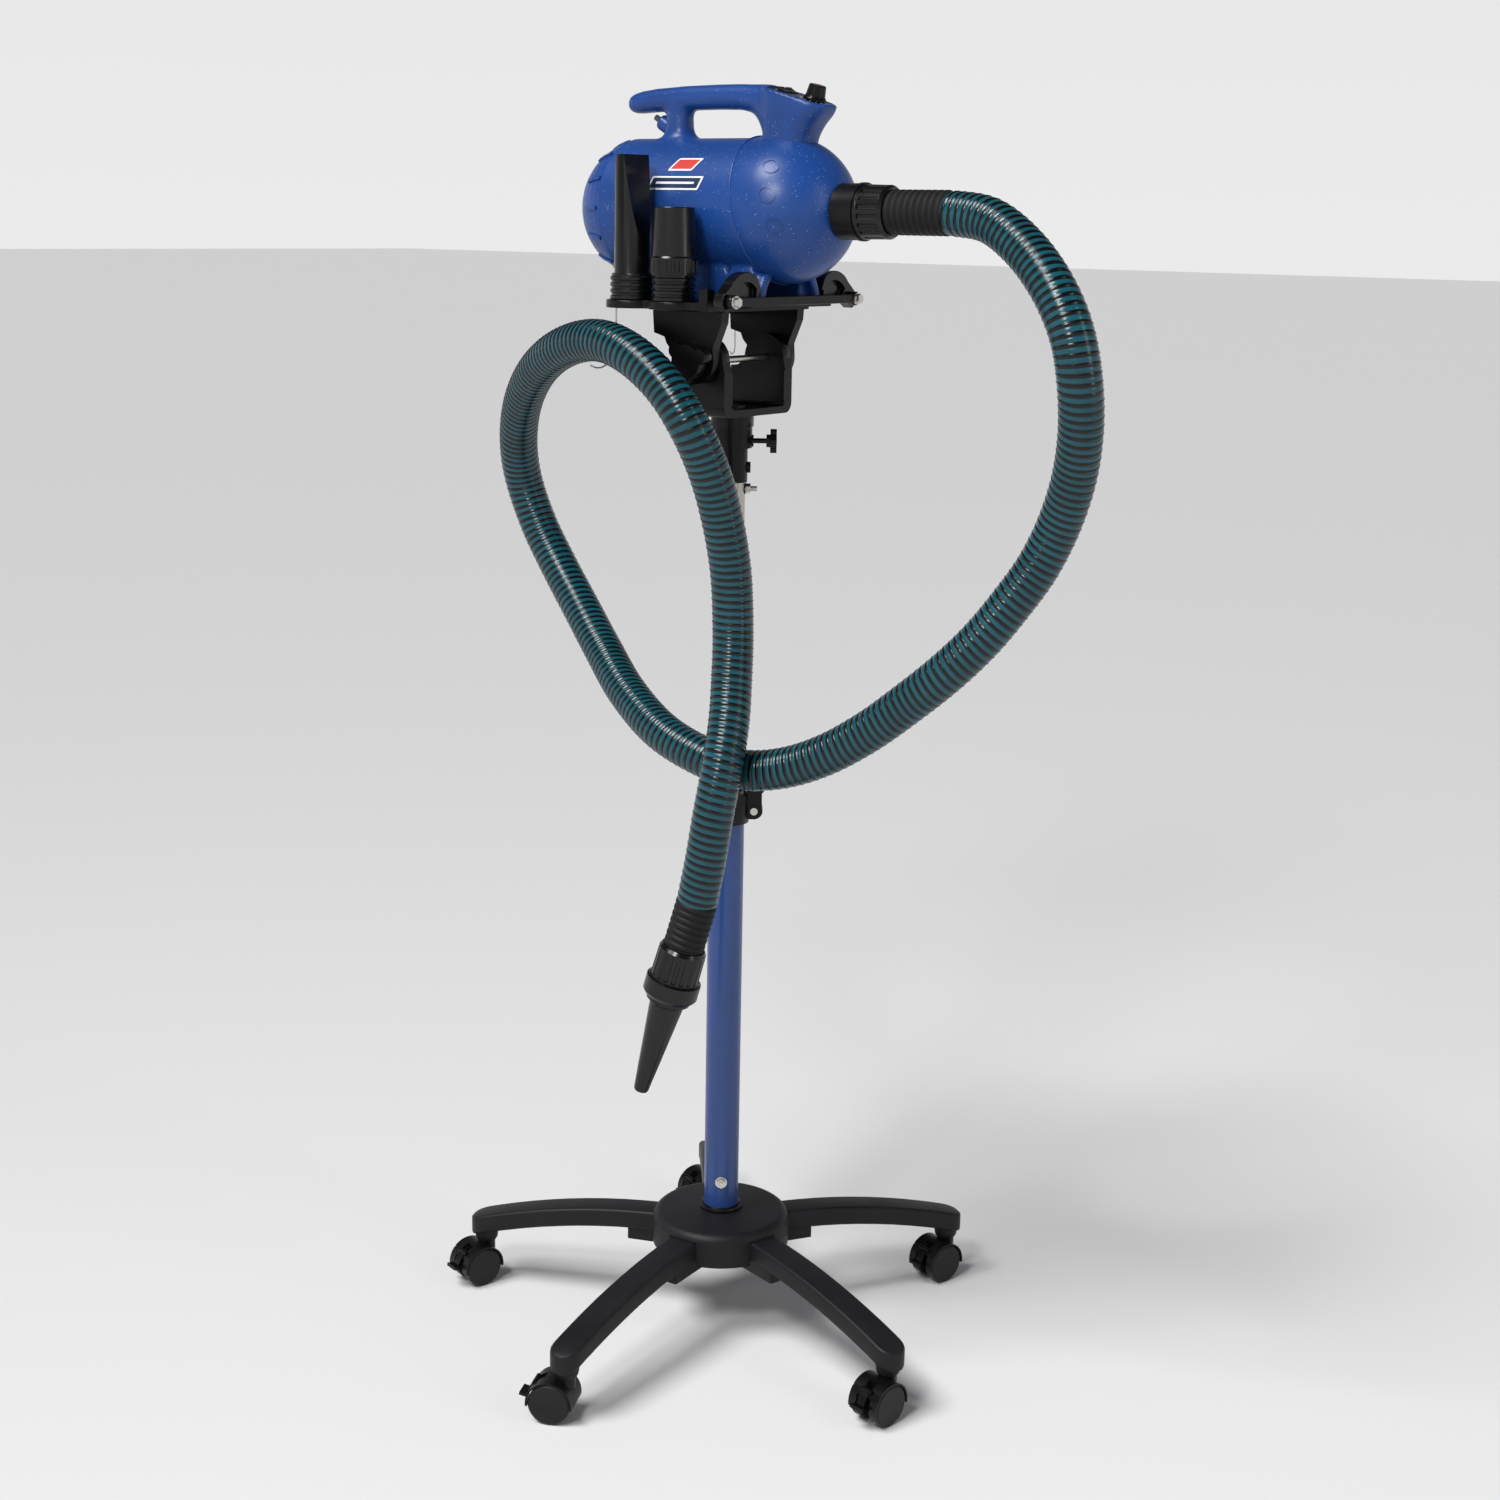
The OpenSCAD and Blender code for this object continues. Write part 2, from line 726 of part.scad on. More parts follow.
module motor_screws() {
    color(steel) for (k = [0:3]) translate([24, 0, axis_z]) rotate([90 * k + 22.5, 0, 0])
        translate([0, 0, 50]) rotate([0, 90, 0]) {
            cylinder(r = 2, h = 10.4);
            translate([0, 0, 10]) cylinder(r = 3.6, h = 2.2);
        }
}

module motor_mounts() {
    color("#2b2b2b") for (x = [-78, 10]) translate([x, 0, axis_z]) rotate([0, 90, 0])
        difference() {
            cylinder(r = body_r - wall, h = 12);
            translate([0, 0, -1]) cylinder(r = 58, h = 14);
            for (k = [0:5]) rotate([0, 0, 60 * k]) translate([67, 0, -1]) cylinder(r = 5.5, h = 14);
        }
}

module rotor() {
    color(steel) along_axis(-76, 5, 110);
    color("#b87333") along_axis(-20, 24, 44, 5);
    color("#c9ccce") for (x = [-72, -56]) translate([x, 0, axis_z]) rotate([0, 90, 0]) {
        difference() {
            cylinder(r = 53, h = 2);
            translate([0, 0, -1]) cylinder(r = 5, h = 6);
        }
        for (k = [0:8]) rotate([0, 0, 40 * k]) translate([14, 0, 1]) rotate([0, 0, 25])
            cube([34, 1.6, 9]);
    }
}

module along_axis(x, r, h, bore = 0) {
    translate([x, 0, axis_z]) rotate([0, 90, 0]) difference() {
        cylinder(r = r, h = h);
        if (bore > 0) translate([0, 0, -1]) cylinder(r = bore, h = h + 2);
    }
}

// ---------- outlet and hose ends ----------

module on_axis(x) {
    translate([x, 0, axis_z]) rotate([0, 90, 0]) children();
}

module outlet_ring() {
    color(black) on_axis(outlet_x) rotate_extrude() polygon([
        [hose_bore_r, -6], [26.8, -6], [26.8, 3], [30.5, 3], [30.5, 27], [31.5, 27.5],
        [31.5, 32 - mate_gap], [hose_bore_r, 32 - mate_gap]
    ]);
}

module fluted(r, from, to, n, groove_r) {
    difference() {
        children();
        for (k = [0:n - 1]) rotate([0, 0, 360 / n * k]) translate([r + groove_r * 0.45, 0, from])
            cylinder(r = groove_r, h = to - from);
    }
}

module hose_nut() {
    len = nut_end_x - ring_face_x;
    color(black) on_axis(ring_face_x) fluted(29.5, 5.5, len - 5, 18, 3.2) rotate_extrude() polygon([
        [sleeve_r + run_fit, 0], [30, 0], [30, 3], [29.5, 4], [29, len - 4],
        [26.5, len - 0.4], [sleeve_r + run_fit, len - 0.4]
    ]);
}

// A cuff with moulded rings: plain sleeve first, then rings up to its length.
module ringed_cuff(sleeve, len, pitch) {
    rings = floor((len - sleeve) / pitch);
    rotate_extrude() polygon(concat(
        [[hose_bore_r, 0.3], [sleeve_r, 0.3], [sleeve_r, sleeve]],
        [for (k = [0:rings - 1], q = [[0, -0.6], [0.25, 0], [0.6, 0], [0.85, -1.6]])
            [cuff_r + q[1], sleeve + (k + q[0]) * pitch]],
        [[cuff_r - 1.6, len], [hose_bore_r, len]]
    ));
}

module hose_cuff() {
    color(black) on_axis(ring_face_x)
        ringed_cuff(nut_end_x - ring_face_x, cuff_end_x - ring_face_x, 8);
}

module tip_place() {
    translate(tip_start) rotate([0, 0, tip_yaw]) rotate([0, 90 + tip_pitch, 0]) rotate([0, 0, 180])
        children();
}

module tip_cuff() {
    color(black) tip_place() rotate_extrude() polygon(concat(
        [[hose_bore_r, 0]],
        [for (k = [0:6], q = [[0, -1.6], [0.25, 0], [0.6, 0], [0.85, -1.6]])
            [cuff_r + q[1], (k + q[0]) * 8]],
        [[sleeve_r, 56], [sleeve_r, 121], [hose_bore_r, 121]]
    ));
}

module tip_nut() {
    color(black) tip_place() translate([0, 0, 57]) fluted(28.5, 5.5, 38.5, 18, 3.2)
        rotate_extrude() polygon([
            [sleeve_r + run_fit, 0], [25.5, 0], [28, 4], [28.5, 40], [32.5, 42],
            [32.5, 60], [29.5, 64], [sleeve_r + run_fit, 64]
        ]);
}

module taper_nozzle() {
    color(black) tip_place() translate([0, 0, 121.4]) rotate_extrude() polygon([
        [15, 0], [26, 0], [26, 5], [20.5, 9], [8.9, 124], [7.7, 126], [5.6, 126],
        [5.6, 114], [16.5, 12], [15, 5]
    ]);
}

// ---------- hose ----------

hose_sides = 10;
hose_steps = 2;

function route_point(k) = hose_route[max(0, min(len(hose_route) - 1, k))];

hose_line = concat(
    [for (k = [0:len(hose_route) - 2], s = [0:hose_steps - 1])
        if (s == 0 || k > 0) spline(route_point(k - 1), route_point(k), route_point(k + 1),
            route_point(k + 2), s / hose_steps)],
    [hose_route[len(hose_route) - 1]]
);

function line_dir(k) = unit(
    hose_line[min(len(hose_line) - 1, k + 1)] - hose_line[max(0, k - 1)]);

// Side vectors carried along the line so that the rings do not twist.
function carried(k, v) = k >= len(hose_line) ? [] : let (
    d = k == 0 ? [1, 0, 0] : (k == len(hose_line) - 1 ? tip_dir : line_dir(k)),
    s = unit(v - (v * d) * d)
) concat([[s, cross(d, s)]], carried(k + 1, s));

tip_dir = [cos(tip_yaw) * cos(tip_pitch), sin(tip_yaw) * cos(tip_pitch), -sin(tip_pitch)];
hose_frames = carried(0, [0, 1, 0]);
hose_points = [for (k = [0:len(hose_line) - 1], j = [0:hose_sides - 1])
    let (a = 360 / hose_sides * j)
    hose_line[k] + hose_od / 2 * (cos(a) * hose_frames[k][0] + sin(a) * hose_frames[k][1])];

function ring_at(k, j) = k * hose_sides + (j % hose_sides);

hose_faces = concat(
    [[for (j = [0:hose_sides - 1]) j]],
    [for (k = [0:len(hose_line) - 2], j = [0:hose_sides - 1])
        [ring_at(k, j), ring_at(k + 1, j), ring_at(k + 1, j + 1), ring_at(k, j + 1)]],
    [[for (j = [hose_sides - 1:-1:0]) (len(hose_line) - 1) * hose_sides + j]]
);

module hose() {
    color("#1f5a66") polyhedron(points = hose_points, faces = hose_faces, convexity = 10);
}

// ---------- spare nozzles ----------

module nozzle_foot() {
    rings = 4;
    pitch = 7;
    polygon(concat(
        [[17, -7], [socket_r - 0.3, -7], [socket_r - 0.3, 0]],
        [for (k = [0:rings - 1], q = [[0, 0], [0.1, 1.6], [0.55, 1.6], [0.7, 0]])
            [23 + q[1], 0.2 + (k + q[0]) * pitch]],
        [[23, 29], [17, 29]]
    ));
}

module flat_nozzle() {
    top = 158;
    color(black) translate([ring_x - ring_pitch, ring_y, caddy_top_z]) rotate([0, 0, -8]) {
        difference() {
            union() {
                rotate_extrude() nozzle_foot();
                intersection() {
                    translate([0, 0, 29]) cylinder(r = 20, h = top - 29);
                    rotate([90, 0, 0]) translate([0, 0, -30]) linear_extrude(60)
                        polygon([[-20, 28], [20, 28], [20, 62], [6, top + 1], [-6, top + 1],
                            [-20, 62]]);
                }
            }
            intersection() {
                translate([0, 0, 28]) cylinder(r = 17.5, h = top);
                rotate([90, 0, 0]) translate([0, 0, -30]) linear_extrude(60)
                    polygon([[-17, 27], [17, 27], [17, 60], [3.4, top + 2], [-3.4, top + 2],
                        [-17, 60]]);
            }
            translate([0, 0, -8]) cylinder(r = 17, h = 37);
        }
    }
}

module round_nozzle() {
    color(black) translate([ring_x, ring_y, caddy_top_z]) {
        rotate_extrude() nozzle_foot();
        translate([0, 0, 29]) fluted(27, 2.5, 15.5, 20, 2.2) rotate_extrude() polygon([
            [17, 0], [27, 0], [27, 18], [25.8, 20], [22.8, 72], [22, 73], [19.5, 73],
            [19.5, 50], [17, 20]
        ]);
    }
}

module hose_hanger() {
    color(steel) translate([hang_x, 0, 0]) {
        translate([0, hang_y, hang_z]) cylinder(r = 1, h = caddy_top_z + 4 - hang_z);
        translate([0, hang_y, caddy_top_z + 4.5]) sphere(r = 4.2);
        translate([0, hang_y - hang_r, hang_z]) rotate([0, 90, 0]) rotate([0, 0, 90 - 118])
            rotate_extrude(angle = 118) translate([hang_r, 0]) circle(r = 1);
    }
}

// ---------- casters ----------

module at_caster(k) {
    rotate([0, 0, arm_angles[k - 1]]) translate([star_r, 0, 0])
        rotate([0, 0, caster_heading[k - 1] - arm_angles[k - 1]]) children();
}

module across(r, w) {
    rotate([90, 0, 0]) cylinder(r = r, h = w, center = true);
}

module caster_housing() {
    hood_r = wheel_r + 3;
    hood_w = 43;
    color(black) difference() {
        union() {
            translate([caster_trail, 0, wheel_r]) intersection() {
                difference() {
                    across(hood_r, hood_w);
                    difference() {
                        across(wheel_r + 1, hood_w + 2);
                        across(wheel_r + 1.2, 10);
                    }
                }
                translate([-50, -50, -4]) cube(100);
            }
            translate([caster_trail, 0, wheel_r]) across(17, 10);
            translate([0, 0, 40]) cylinder(r = 11, h = 21);
            // ears that carry the brake lever
            translate([caster_trail + brake_xz, 0, wheel_r + brake_xz]) across(2.7, 17.6);
        }
        translate([caster_trail, 0, wheel_r]) across(axle_r + run_fit, 60);
        translate([caster_trail, 0, wheel_r]) for (side = [-1, 1])
            translate([0, side * 16.5, 0]) across(wheel_r + 1, 23);
        // window of the brake lever
        translate([caster_trail + 8, -6.2, -10]) cube([30, 12.4, 70]);
        // notch for the lever's foot pad
        translate([caster_trail + 18, -10.6, -10]) cube([30, 21.2, 10 + wheel_r + 14]);
        translate([caster_trail + brake_xz, 0, wheel_r + brake_xz]) across(brake_pin_r + run_fit, 60);
        translate([0, 0, 42]) cylinder(r = stem_r, h = 30);
    }
    color(steel) translate([0, 0, 42]) cylinder(r = stem_r, h = stem_top_z - 42.5);
}

module caster_wheels() {
    color(black) translate([caster_trail, 0, wheel_r]) for (side = [-1, 1])
        translate([0, side * 14, 0]) rotate([90, 0, 0]) difference() {
            translate([0, 0, -7.5]) rotate_extrude() polygon([
                [axle_r, 0], [wheel_r - 2, 0], [wheel_r, 1.5], [wheel_r, 13.5],
                [wheel_r - 2, 15], [axle_r, 15]
            ]);
        }
    color(steel) translate([caster_trail, 0, wheel_r]) across(axle_r, 43);
}

module caster_brake() {
    color(black) translate([caster_trail + brake_xz, 0, wheel_r + brake_xz])
        rotate([0, -brake_open, 0]) {
        across(2.7, 11);
        across(brake_pin_r, 16.4);
        translate([-brake_xz, 0, -brake_xz]) {
            rotate([90, 0, 0]) translate([0, 0, -5.5]) linear_extrude(11) polygon(concat(
                arc(0, 0, 28, 45, 4, 8), arc(0, 0, 25, 4, 45, 6)));
            translate([26, -9.5, -1]) cube([9, 19, 4]);
        }
    }
}

// ---------- the nodes ----------

base_hub();
base_arms();
lower_tube();
base_ring();
tube_bolt();
guide_bush();
height_collar();
clamp_bolt();
height_knob();
mast_tube();
stop_bolt();
mount_collar();
yoke();
swivel_knob();
cradle();
front_bar();
nozzle_caddy();
pivot_bolt();
tilt_knob();
clamp_cam(-1);  // clamp_cam_near
clamp_cam(1);  // clamp_cam_far
cam_screws();
main_housing();
front_cover();
rear_cover();
air_filter();
control_panel();
speed_knob();
rocker(-1);  // rocker_near
rocker(1);  // rocker_far
cord_gland();
motor_screws();
motor_case();
motor_mounts();
rotor();
outlet_ring();
hose_nut();
hose_cuff();
hose();
tip_cuff();
tip_nut();
taper_nozzle();
flat_nozzle();
round_nozzle();
hose_hanger();
for (k = [1:5]) {
    at_caster(k) caster_housing();
    at_caster(k) caster_wheels();
    at_caster(k) caster_brake();
}
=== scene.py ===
# %% [markdown]
# # A force dryer on a rolling stand
# The part comes from CAD as a fixed frame: every solid already has its true size and place.
# Here each piece gets the finish and the small shapes that moulding and wear give the real one.

# %% Load the frame
import math

import bmesh
import bpy
import numpy as np
from mathutils import Matrix, Vector


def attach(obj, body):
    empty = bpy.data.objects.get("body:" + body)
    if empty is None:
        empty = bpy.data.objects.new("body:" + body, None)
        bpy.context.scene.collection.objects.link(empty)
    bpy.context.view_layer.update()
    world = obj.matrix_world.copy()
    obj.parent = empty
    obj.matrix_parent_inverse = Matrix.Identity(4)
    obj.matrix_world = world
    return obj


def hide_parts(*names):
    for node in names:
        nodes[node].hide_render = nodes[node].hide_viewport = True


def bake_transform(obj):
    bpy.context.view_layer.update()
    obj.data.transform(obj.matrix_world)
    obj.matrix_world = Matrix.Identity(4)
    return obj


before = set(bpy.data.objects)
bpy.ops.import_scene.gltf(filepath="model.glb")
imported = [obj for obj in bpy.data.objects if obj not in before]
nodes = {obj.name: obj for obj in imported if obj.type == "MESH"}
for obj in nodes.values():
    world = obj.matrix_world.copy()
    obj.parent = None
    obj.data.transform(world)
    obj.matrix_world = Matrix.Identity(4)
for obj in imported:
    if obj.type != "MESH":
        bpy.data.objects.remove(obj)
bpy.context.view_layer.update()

# %% [markdown]
# Colours are written as on a paint chart, in sRGB hex. The renderer wants linear light,
# so one function turns them. Another adds a node to a material with its settings and links.

# %% Colour and node helpers
def colour(hex_value):
    """sRGB hex such as '#1c1b1d' as linear RGBA."""
    parts = [int(hex_value[i:i + 2], 16) / 255 for i in (1, 3, 5)]
    linear = [c / 12.92 if c <= 0.04045 else ((c + 0.055) / 1.055) ** 2.4 for c in parts]
    return (*linear, 1.0)


def add_node(material, kind, settings=None, links=None, stops=None):
    """Adds a node. Settings go to properties or sockets, links join a socket to an output,
    and stops are the (place, colour) points of a colour ramp."""
    made = material.node_tree.nodes.new(kind)
    for key, value in (settings or {}).items():
        if key in made.inputs:
            made.inputs[key].default_value = value
        else:
            setattr(made, key, value)
    for key, output in (links or {}).items():
        material.node_tree.links.new(output, made.inputs[key])
    if stops:
        elements = made.color_ramp.elements
        elements[0].position, elements[1].position = stops[0][0], stops[-1][0]
        for position, _ in stops[1:-1]:
            elements.new(position)
        for element, (_, value) in zip(elements, stops):
            element.color = value
    return made


def new_material(name, **sockets):
    """A material and its Principled shader, whose sockets are set to these values."""
    material = bpy.data.materials.new(name)
    material.use_nodes = True
    shader = material.node_tree.nodes["Principled BSDF"]
    for key, value in sockets.items():
        shader.inputs[key.replace("_", " ")].default_value = value
    return material, shader


def link(material, output, socket):
    material.node_tree.links.new(output, socket)


# %% [markdown]
# ## Finishes
# The base, bracket and clamps are injection-moulded black polypropylene. The mould is
# spark-eroded, which leaves a fine pebble texture that spreads the highlights, so a
# smooth black would look like wet paint. The grain is about 0.3 mm; it is drawn at 1 mm
# so that it shows from where one stands.

# %% Moulded black plastic
def moulded(name, base, worn, roughness, grain_mm, depth, shine=0.24):
    """Textured mouldings: a pebble bump, slightly uneven gloss and paler handled patches."""
    material, shader = new_material(name, Roughness=roughness, IOR=1.49,
                                    Specular_IOR_Level=shine)
    place = add_node(material, "ShaderNodeTexCoord").outputs["Object"]
    patches = add_node(material, "ShaderNodeTexNoise", {"Scale": 14.0, "Detail": 4.0},
                       {"Vector": place}).outputs["Fac"]
    shade = add_node(material, "ShaderNodeValToRGB", links={"Fac": patches},
                     stops=[(0.35, base), (0.75, worn)])
    link(material, shade.outputs["Color"], shader.inputs["Base Color"])
    gloss = add_node(material, "ShaderNodeMapRange",
                     {"From Min": 0.3, "From Max": 0.7, "To Min": roughness - 0.05,
                      "To Max": roughness + 0.07}, {"Value": patches})
    link(material, gloss.outputs["Result"], shader.inputs["Roughness"])
    pebble = add_node(material, "ShaderNodeTexNoise", {"Scale": 1000.0 / grain_mm, "Detail": 2.0},
                      {"Vector": place}).outputs["Fac"]
    bump = add_node(material, "ShaderNodeBump", {"Strength": depth, "Distance": 0.0002},
                    {"Height": pebble})
    link(material, bump.outputs["Normal"], shader.inputs["Normal"])
    return material


black_grained = moulded("polypropylene_grained_black", colour("#151416"), colour("#1d1b1e"),
                        0.48, 1.1, 0.35)
black_satin = moulded("abs_satin_black", colour("#090809"), colour("#0f0e10"), 0.30, 1.6, 0.12)
black_gloss = moulded("abs_polished_black", colour("#070607"), colour("#0b0a0c"), 0.24, 3.0, 0.05,
                      shine=0.42)
nylon_tread = moulded("nylon_wheel_black", colour("#161517"), colour("#232124"), 0.42, 1.2, 0.25)
rubber_black = moulded("rubber_moulded_black", colour("#151415"), colour("#1d1c1d"), 0.62, 1.4, 0.3)

# %% [markdown]
# The dryer's shell is blow-moulded polyethylene coloured right through, with fine
# pearl flakes that glint in the light. The wall is slightly wavy, so highlights stay
# broad and soft. A cell pattern turns a few cells pale: real flakes, their glint painted in the
# base colour.

# %% Pearl-flecked blue shell
def flecked_blue(name, deep, bright, roughness):
    """A clouded blue in which about one cell in three carries a flake, its glint painted pale in
    the base colour.
    """
    white, grey, black = (1, 1, 1, 1), (0.6, 0.6, 0.6, 1), (0, 0, 0, 1)
    material, shader = new_material(name, Roughness=roughness, IOR=1.5,
                                    Specular_IOR_Level=0.42)
    place = add_node(material, "ShaderNodeTexCoord").outputs["Object"]
    cloud = add_node(material, "ShaderNodeTexNoise", {"Scale": 9.0, "Detail": 3.0},
                     {"Vector": place}).outputs["Fac"]
    tint = add_node(material, "ShaderNodeValToRGB", links={"Fac": cloud},
                    stops=[(0.3, deep), (0.75, bright)]).outputs["Color"]
    cells = add_node(material, "ShaderNodeTexVoronoi", {"Scale": 380.0}, {"Vector": place})
    # pale spots in the base colour: a painted glint on each chosen flake, lit or not
    flake_glint = add_node(material, "ShaderNodeValToRGB", links={"Fac": cells.outputs["Distance"]},
                     stops=[(0.0, white), (0.15, white), (0.22, black)])
    chosen = add_node(material, "ShaderNodeValToRGB", links={"Fac": cells.outputs["Color"]},
                      stops=[(0.66, black), (0.76, grey)])
    glint_mask = add_node(material, "ShaderNodeMath", {"operation": "MULTIPLY"})
    link(material, flake_glint.outputs["Color"], glint_mask.inputs[0])
    link(material, chosen.outputs["Color"], glint_mask.inputs[1])
    # a colour mix keeps its two colours in sockets 6 and 7, and its result in output 2
    mix = add_node(material, "ShaderNodeMix", {"data_type": "RGBA"})
    link(material, glint_mask.outputs[0], mix.inputs["Factor"])
    link(material, tint, mix.inputs[6])
    # the pale colour of the painted flake glint
    mix.inputs[7].default_value = colour("#8fb6ea")
    link(material, mix.outputs[2], shader.inputs["Base Color"])
    wave = add_node(material, "ShaderNodeTexNoise", {"Scale": 260.0, "Detail": 3.0},
                    {"Vector": place}).outputs["Fac"]
    bump = add_node(material, "ShaderNodeBump", {"Strength": 0.18, "Distance": 0.0003},
                    {"Height": wave})
    link(material, bump.outputs["Normal"], shader.inputs["Normal"])
    return material


shell_blue = flecked_blue("polyethylene_pearl_blue", colour("#143a78"), colour("#18438a"), 0.36)

# %% [markdown]
# The lower tube is powder-coated steel. Baked powder flows into a skin with a faint
# orange peel, a few millimetres from crest to crest.

# %% Powder-coated tube
tube_blue, shader = new_material("powder_coat_blue", Roughness=0.36, IOR=1.5,
                                 Coat_Weight=0.3, Coat_Roughness=0.2)
place = add_node(tube_blue, "ShaderNodeTexCoord").outputs["Object"]
cloud = add_node(tube_blue, "ShaderNodeTexNoise", {"Scale": 6.0, "Detail": 5.0},
                 {"Vector": place}).outputs["Fac"]
shade = add_node(tube_blue, "ShaderNodeValToRGB", links={"Fac": cloud},
                 stops=[(0.3, colour("#14366e")), (0.7, colour("#184081"))])
link(tube_blue, shade.outputs["Color"], shader.inputs["Base Color"])
peel = add_node(tube_blue, "ShaderNodeTexNoise", {"Scale": 380.0, "Detail": 1.0},
                {"Vector": place}).outputs["Fac"]
bump = add_node(tube_blue, "ShaderNodeBump", {"Strength": 0.12, "Distance": 0.0003},
                {"Height": peel})
link(tube_blue, bump.outputs["Normal"], shader.inputs["Normal"])

# %% [markdown]
# The mast is nickel-plated steel tube, drawn and ground along its length, so its fine
# lines run up and down. Screws and bolts are zinc-plated, brighter and more uneven.

# %% Plated steels
def plated(name, tone, roughness, stretch, depth):
    """A bright metal with fine lines; stretch is how many lie in a metre along each axis."""
    material, shader = new_material(name, Metallic=1.0, Roughness=roughness)
    place = add_node(material, "ShaderNodeTexCoord").outputs["Object"]
    turned = add_node(material, "ShaderNodeMapping", {"Scale": stretch}, {"Vector": place})
    lines = add_node(material, "ShaderNodeTexNoise", {"Scale": 1.0, "Detail": 3.0},
                     {"Vector": turned.outputs["Vector"]}).outputs["Fac"]
    dark = tuple(0.82 * c for c in tone[:3]) + (1.0,)
    shade = add_node(material, "ShaderNodeValToRGB", links={"Fac": lines},
                     stops=[(0.3, dark), (0.7, tone)])
    link(material, shade.outputs["Color"], shader.inputs["Base Color"])
    gloss = add_node(material, "ShaderNodeMapRange",
                     {"To Min": roughness - 0.06, "To Max": roughness + 0.08}, {"Value": lines})
    link(material, gloss.outputs["Result"], shader.inputs["Roughness"])
    bump = add_node(material, "ShaderNodeBump", {"Strength": depth, "Distance": 0.0001},
                    {"Height": lines})
    link(material, bump.outputs["Normal"], shader.inputs["Normal"])
    return material


nickel_tube = plated("nickel_plated_tube", colour("#c9c2b8"), 0.24, (900.0, 900.0, 12.0), 0.15)
zinc_bolt = plated("zinc_plated_steel", colour("#d8d5ce"), 0.28, (500.0, 500.0, 500.0), 0.2)
cast_alloy = plated("cast_aluminium", colour("#a9abad"), 0.45, (700.0, 700.0, 700.0), 0.4)

# %% [markdown]
# The hose is soft vinyl wound in a spiral: a wide teal tape joined by a narrow black
# bead that stands a little proud. Both are shiny, so every turn carries its own glint.
# The winding follows the surface, so it is stored in the hose's own UV map: one turn of
# the spiral is one unit along V.

# %% Spiral vinyl
hose_vinyl, shader = new_material("vinyl_spiral_teal_and_black", Roughness=0.24, IOR=1.5,
                                  Specular_IOR_Level=0.4)
around = add_node(hose_vinyl, "ShaderNodeUVMap", {"uv_map": "winding"}).outputs["UV"]
split = add_node(hose_vinyl, "ShaderNodeSeparateXYZ", links={"Vector": around})
turn = add_node(hose_vinyl, "ShaderNodeMath", {"operation": "FRACT"})
link(hose_vinyl, split.outputs["Y"], turn.inputs[0])
teal_edge, teal, black_vinyl = colour("#0a2d35"), colour("#114a55"), colour("#060709")
bands = add_node(hose_vinyl, "ShaderNodeValToRGB", links={"Fac": turn.outputs[0]}, stops=[
    (0.0, black_vinyl), (0.03, black_vinyl), (0.09, teal_edge), (0.16, teal), (0.55, teal),
    (0.62, teal_edge), (0.68, black_vinyl), (1.0, black_vinyl)])
place = add_node(hose_vinyl, "ShaderNodeTexCoord").outputs["Object"]
cloud = add_node(hose_vinyl, "ShaderNodeTexNoise", {"Scale": 22.0, "Detail": 3.0},
                 {"Vector": place}).outputs["Fac"]
lift = add_node(hose_vinyl, "ShaderNodeMapRange",
                {"From Min": 0.3, "From Max": 0.7, "To Min": 0.82, "To Max": 1.18},
                {"Value": cloud})
varied = add_node(hose_vinyl, "ShaderNodeHueSaturation",
                  links={"Color": bands.outputs["Color"], "Value": lift.outputs["Result"]})
link(hose_vinyl, varied.outputs["Color"], shader.inputs["Base Color"])
ripple = add_node(hose_vinyl, "ShaderNodeTexNoise", {"Scale": 240.0, "Detail": 2.0},
                  {"Vector": place}).outputs["Fac"]
bump = add_node(hose_vinyl, "ShaderNodeBump", {"Strength": 0.12, "Distance": 0.0003},
                {"Height": ripple})
link(hose_vinyl, bump.outputs["Normal"], shader.inputs["Normal"])

# %% [markdown]
# Small finishes: the filter's open foam, printed marks, and the badge's vinyl film.

# %% Foam, print and film
foam_grey, shader = new_material("polyurethane_open_foam", Roughness=0.9)
place = add_node(foam_grey, "ShaderNodeTexCoord").outputs["Object"]
pores = add_node(foam_grey, "ShaderNodeTexVoronoi", {"Scale": 420.0}, {"Vector": place})
shade = add_node(foam_grey, "ShaderNodeValToRGB", links={"Fac": pores.outputs["Distance"]},
                 stops=[(0.1, colour("#0b0b0c")), (0.6, colour("#39383a"))])
link(foam_grey, shade.outputs["Color"], shader.inputs["Base Color"])
bump = add_node(foam_grey, "ShaderNodeBump", {"Strength": 0.8, "Distance": 0.001},
                {"Height": pores.outputs["Distance"]})
link(foam_grey, bump.outputs["Normal"], shader.inputs["Normal"])


def printed(name, tone, roughness):
    """A flat ink or film, with the fine speckle of its screen."""
    material, shader = new_material(name, Roughness=roughness)
    place = add_node(material, "ShaderNodeTexCoord").outputs["Object"]
    speck = add_node(material, "ShaderNodeTexNoise", {"Scale": 900.0, "Detail": 2.0},
                     {"Vector": place}).outputs["Fac"]
    soft = tuple(0.86 * c for c in tone[:3]) + (1.0,)
    shade = add_node(material, "ShaderNodeValToRGB", links={"Fac": speck},
                     stops=[(0.3, soft), (0.6, tone)])
    link(material, shade.outputs["Color"], shader.inputs["Base Color"])
    return material


white_film = printed("vinyl_film_white", colour("#e6e8ea"), 0.35)
red_film = printed("vinyl_film_red", colour("#c8362c"), 0.35)
navy_film = printed("vinyl_film_navy", colour("#152a4c"), 0.35)
white_ink = printed("pad_printed_white", colour("#d9dadb"), 0.5)
sleeve_grey = printed("rubber_sleeve_grey", colour("#4c4c4e"), 0.6)
print("materials", len(bpy.data.materials))

# %% [markdown]
# ## Camera and light
# The camera stands about two and a half metres away at chest height, as a person looking
# at the stand. The light is a plain studio set: a broad sun from the front left, a square
# lamp above the front for the highlights, a weak strip on the right, and a pale floor and
# room that throw light back.

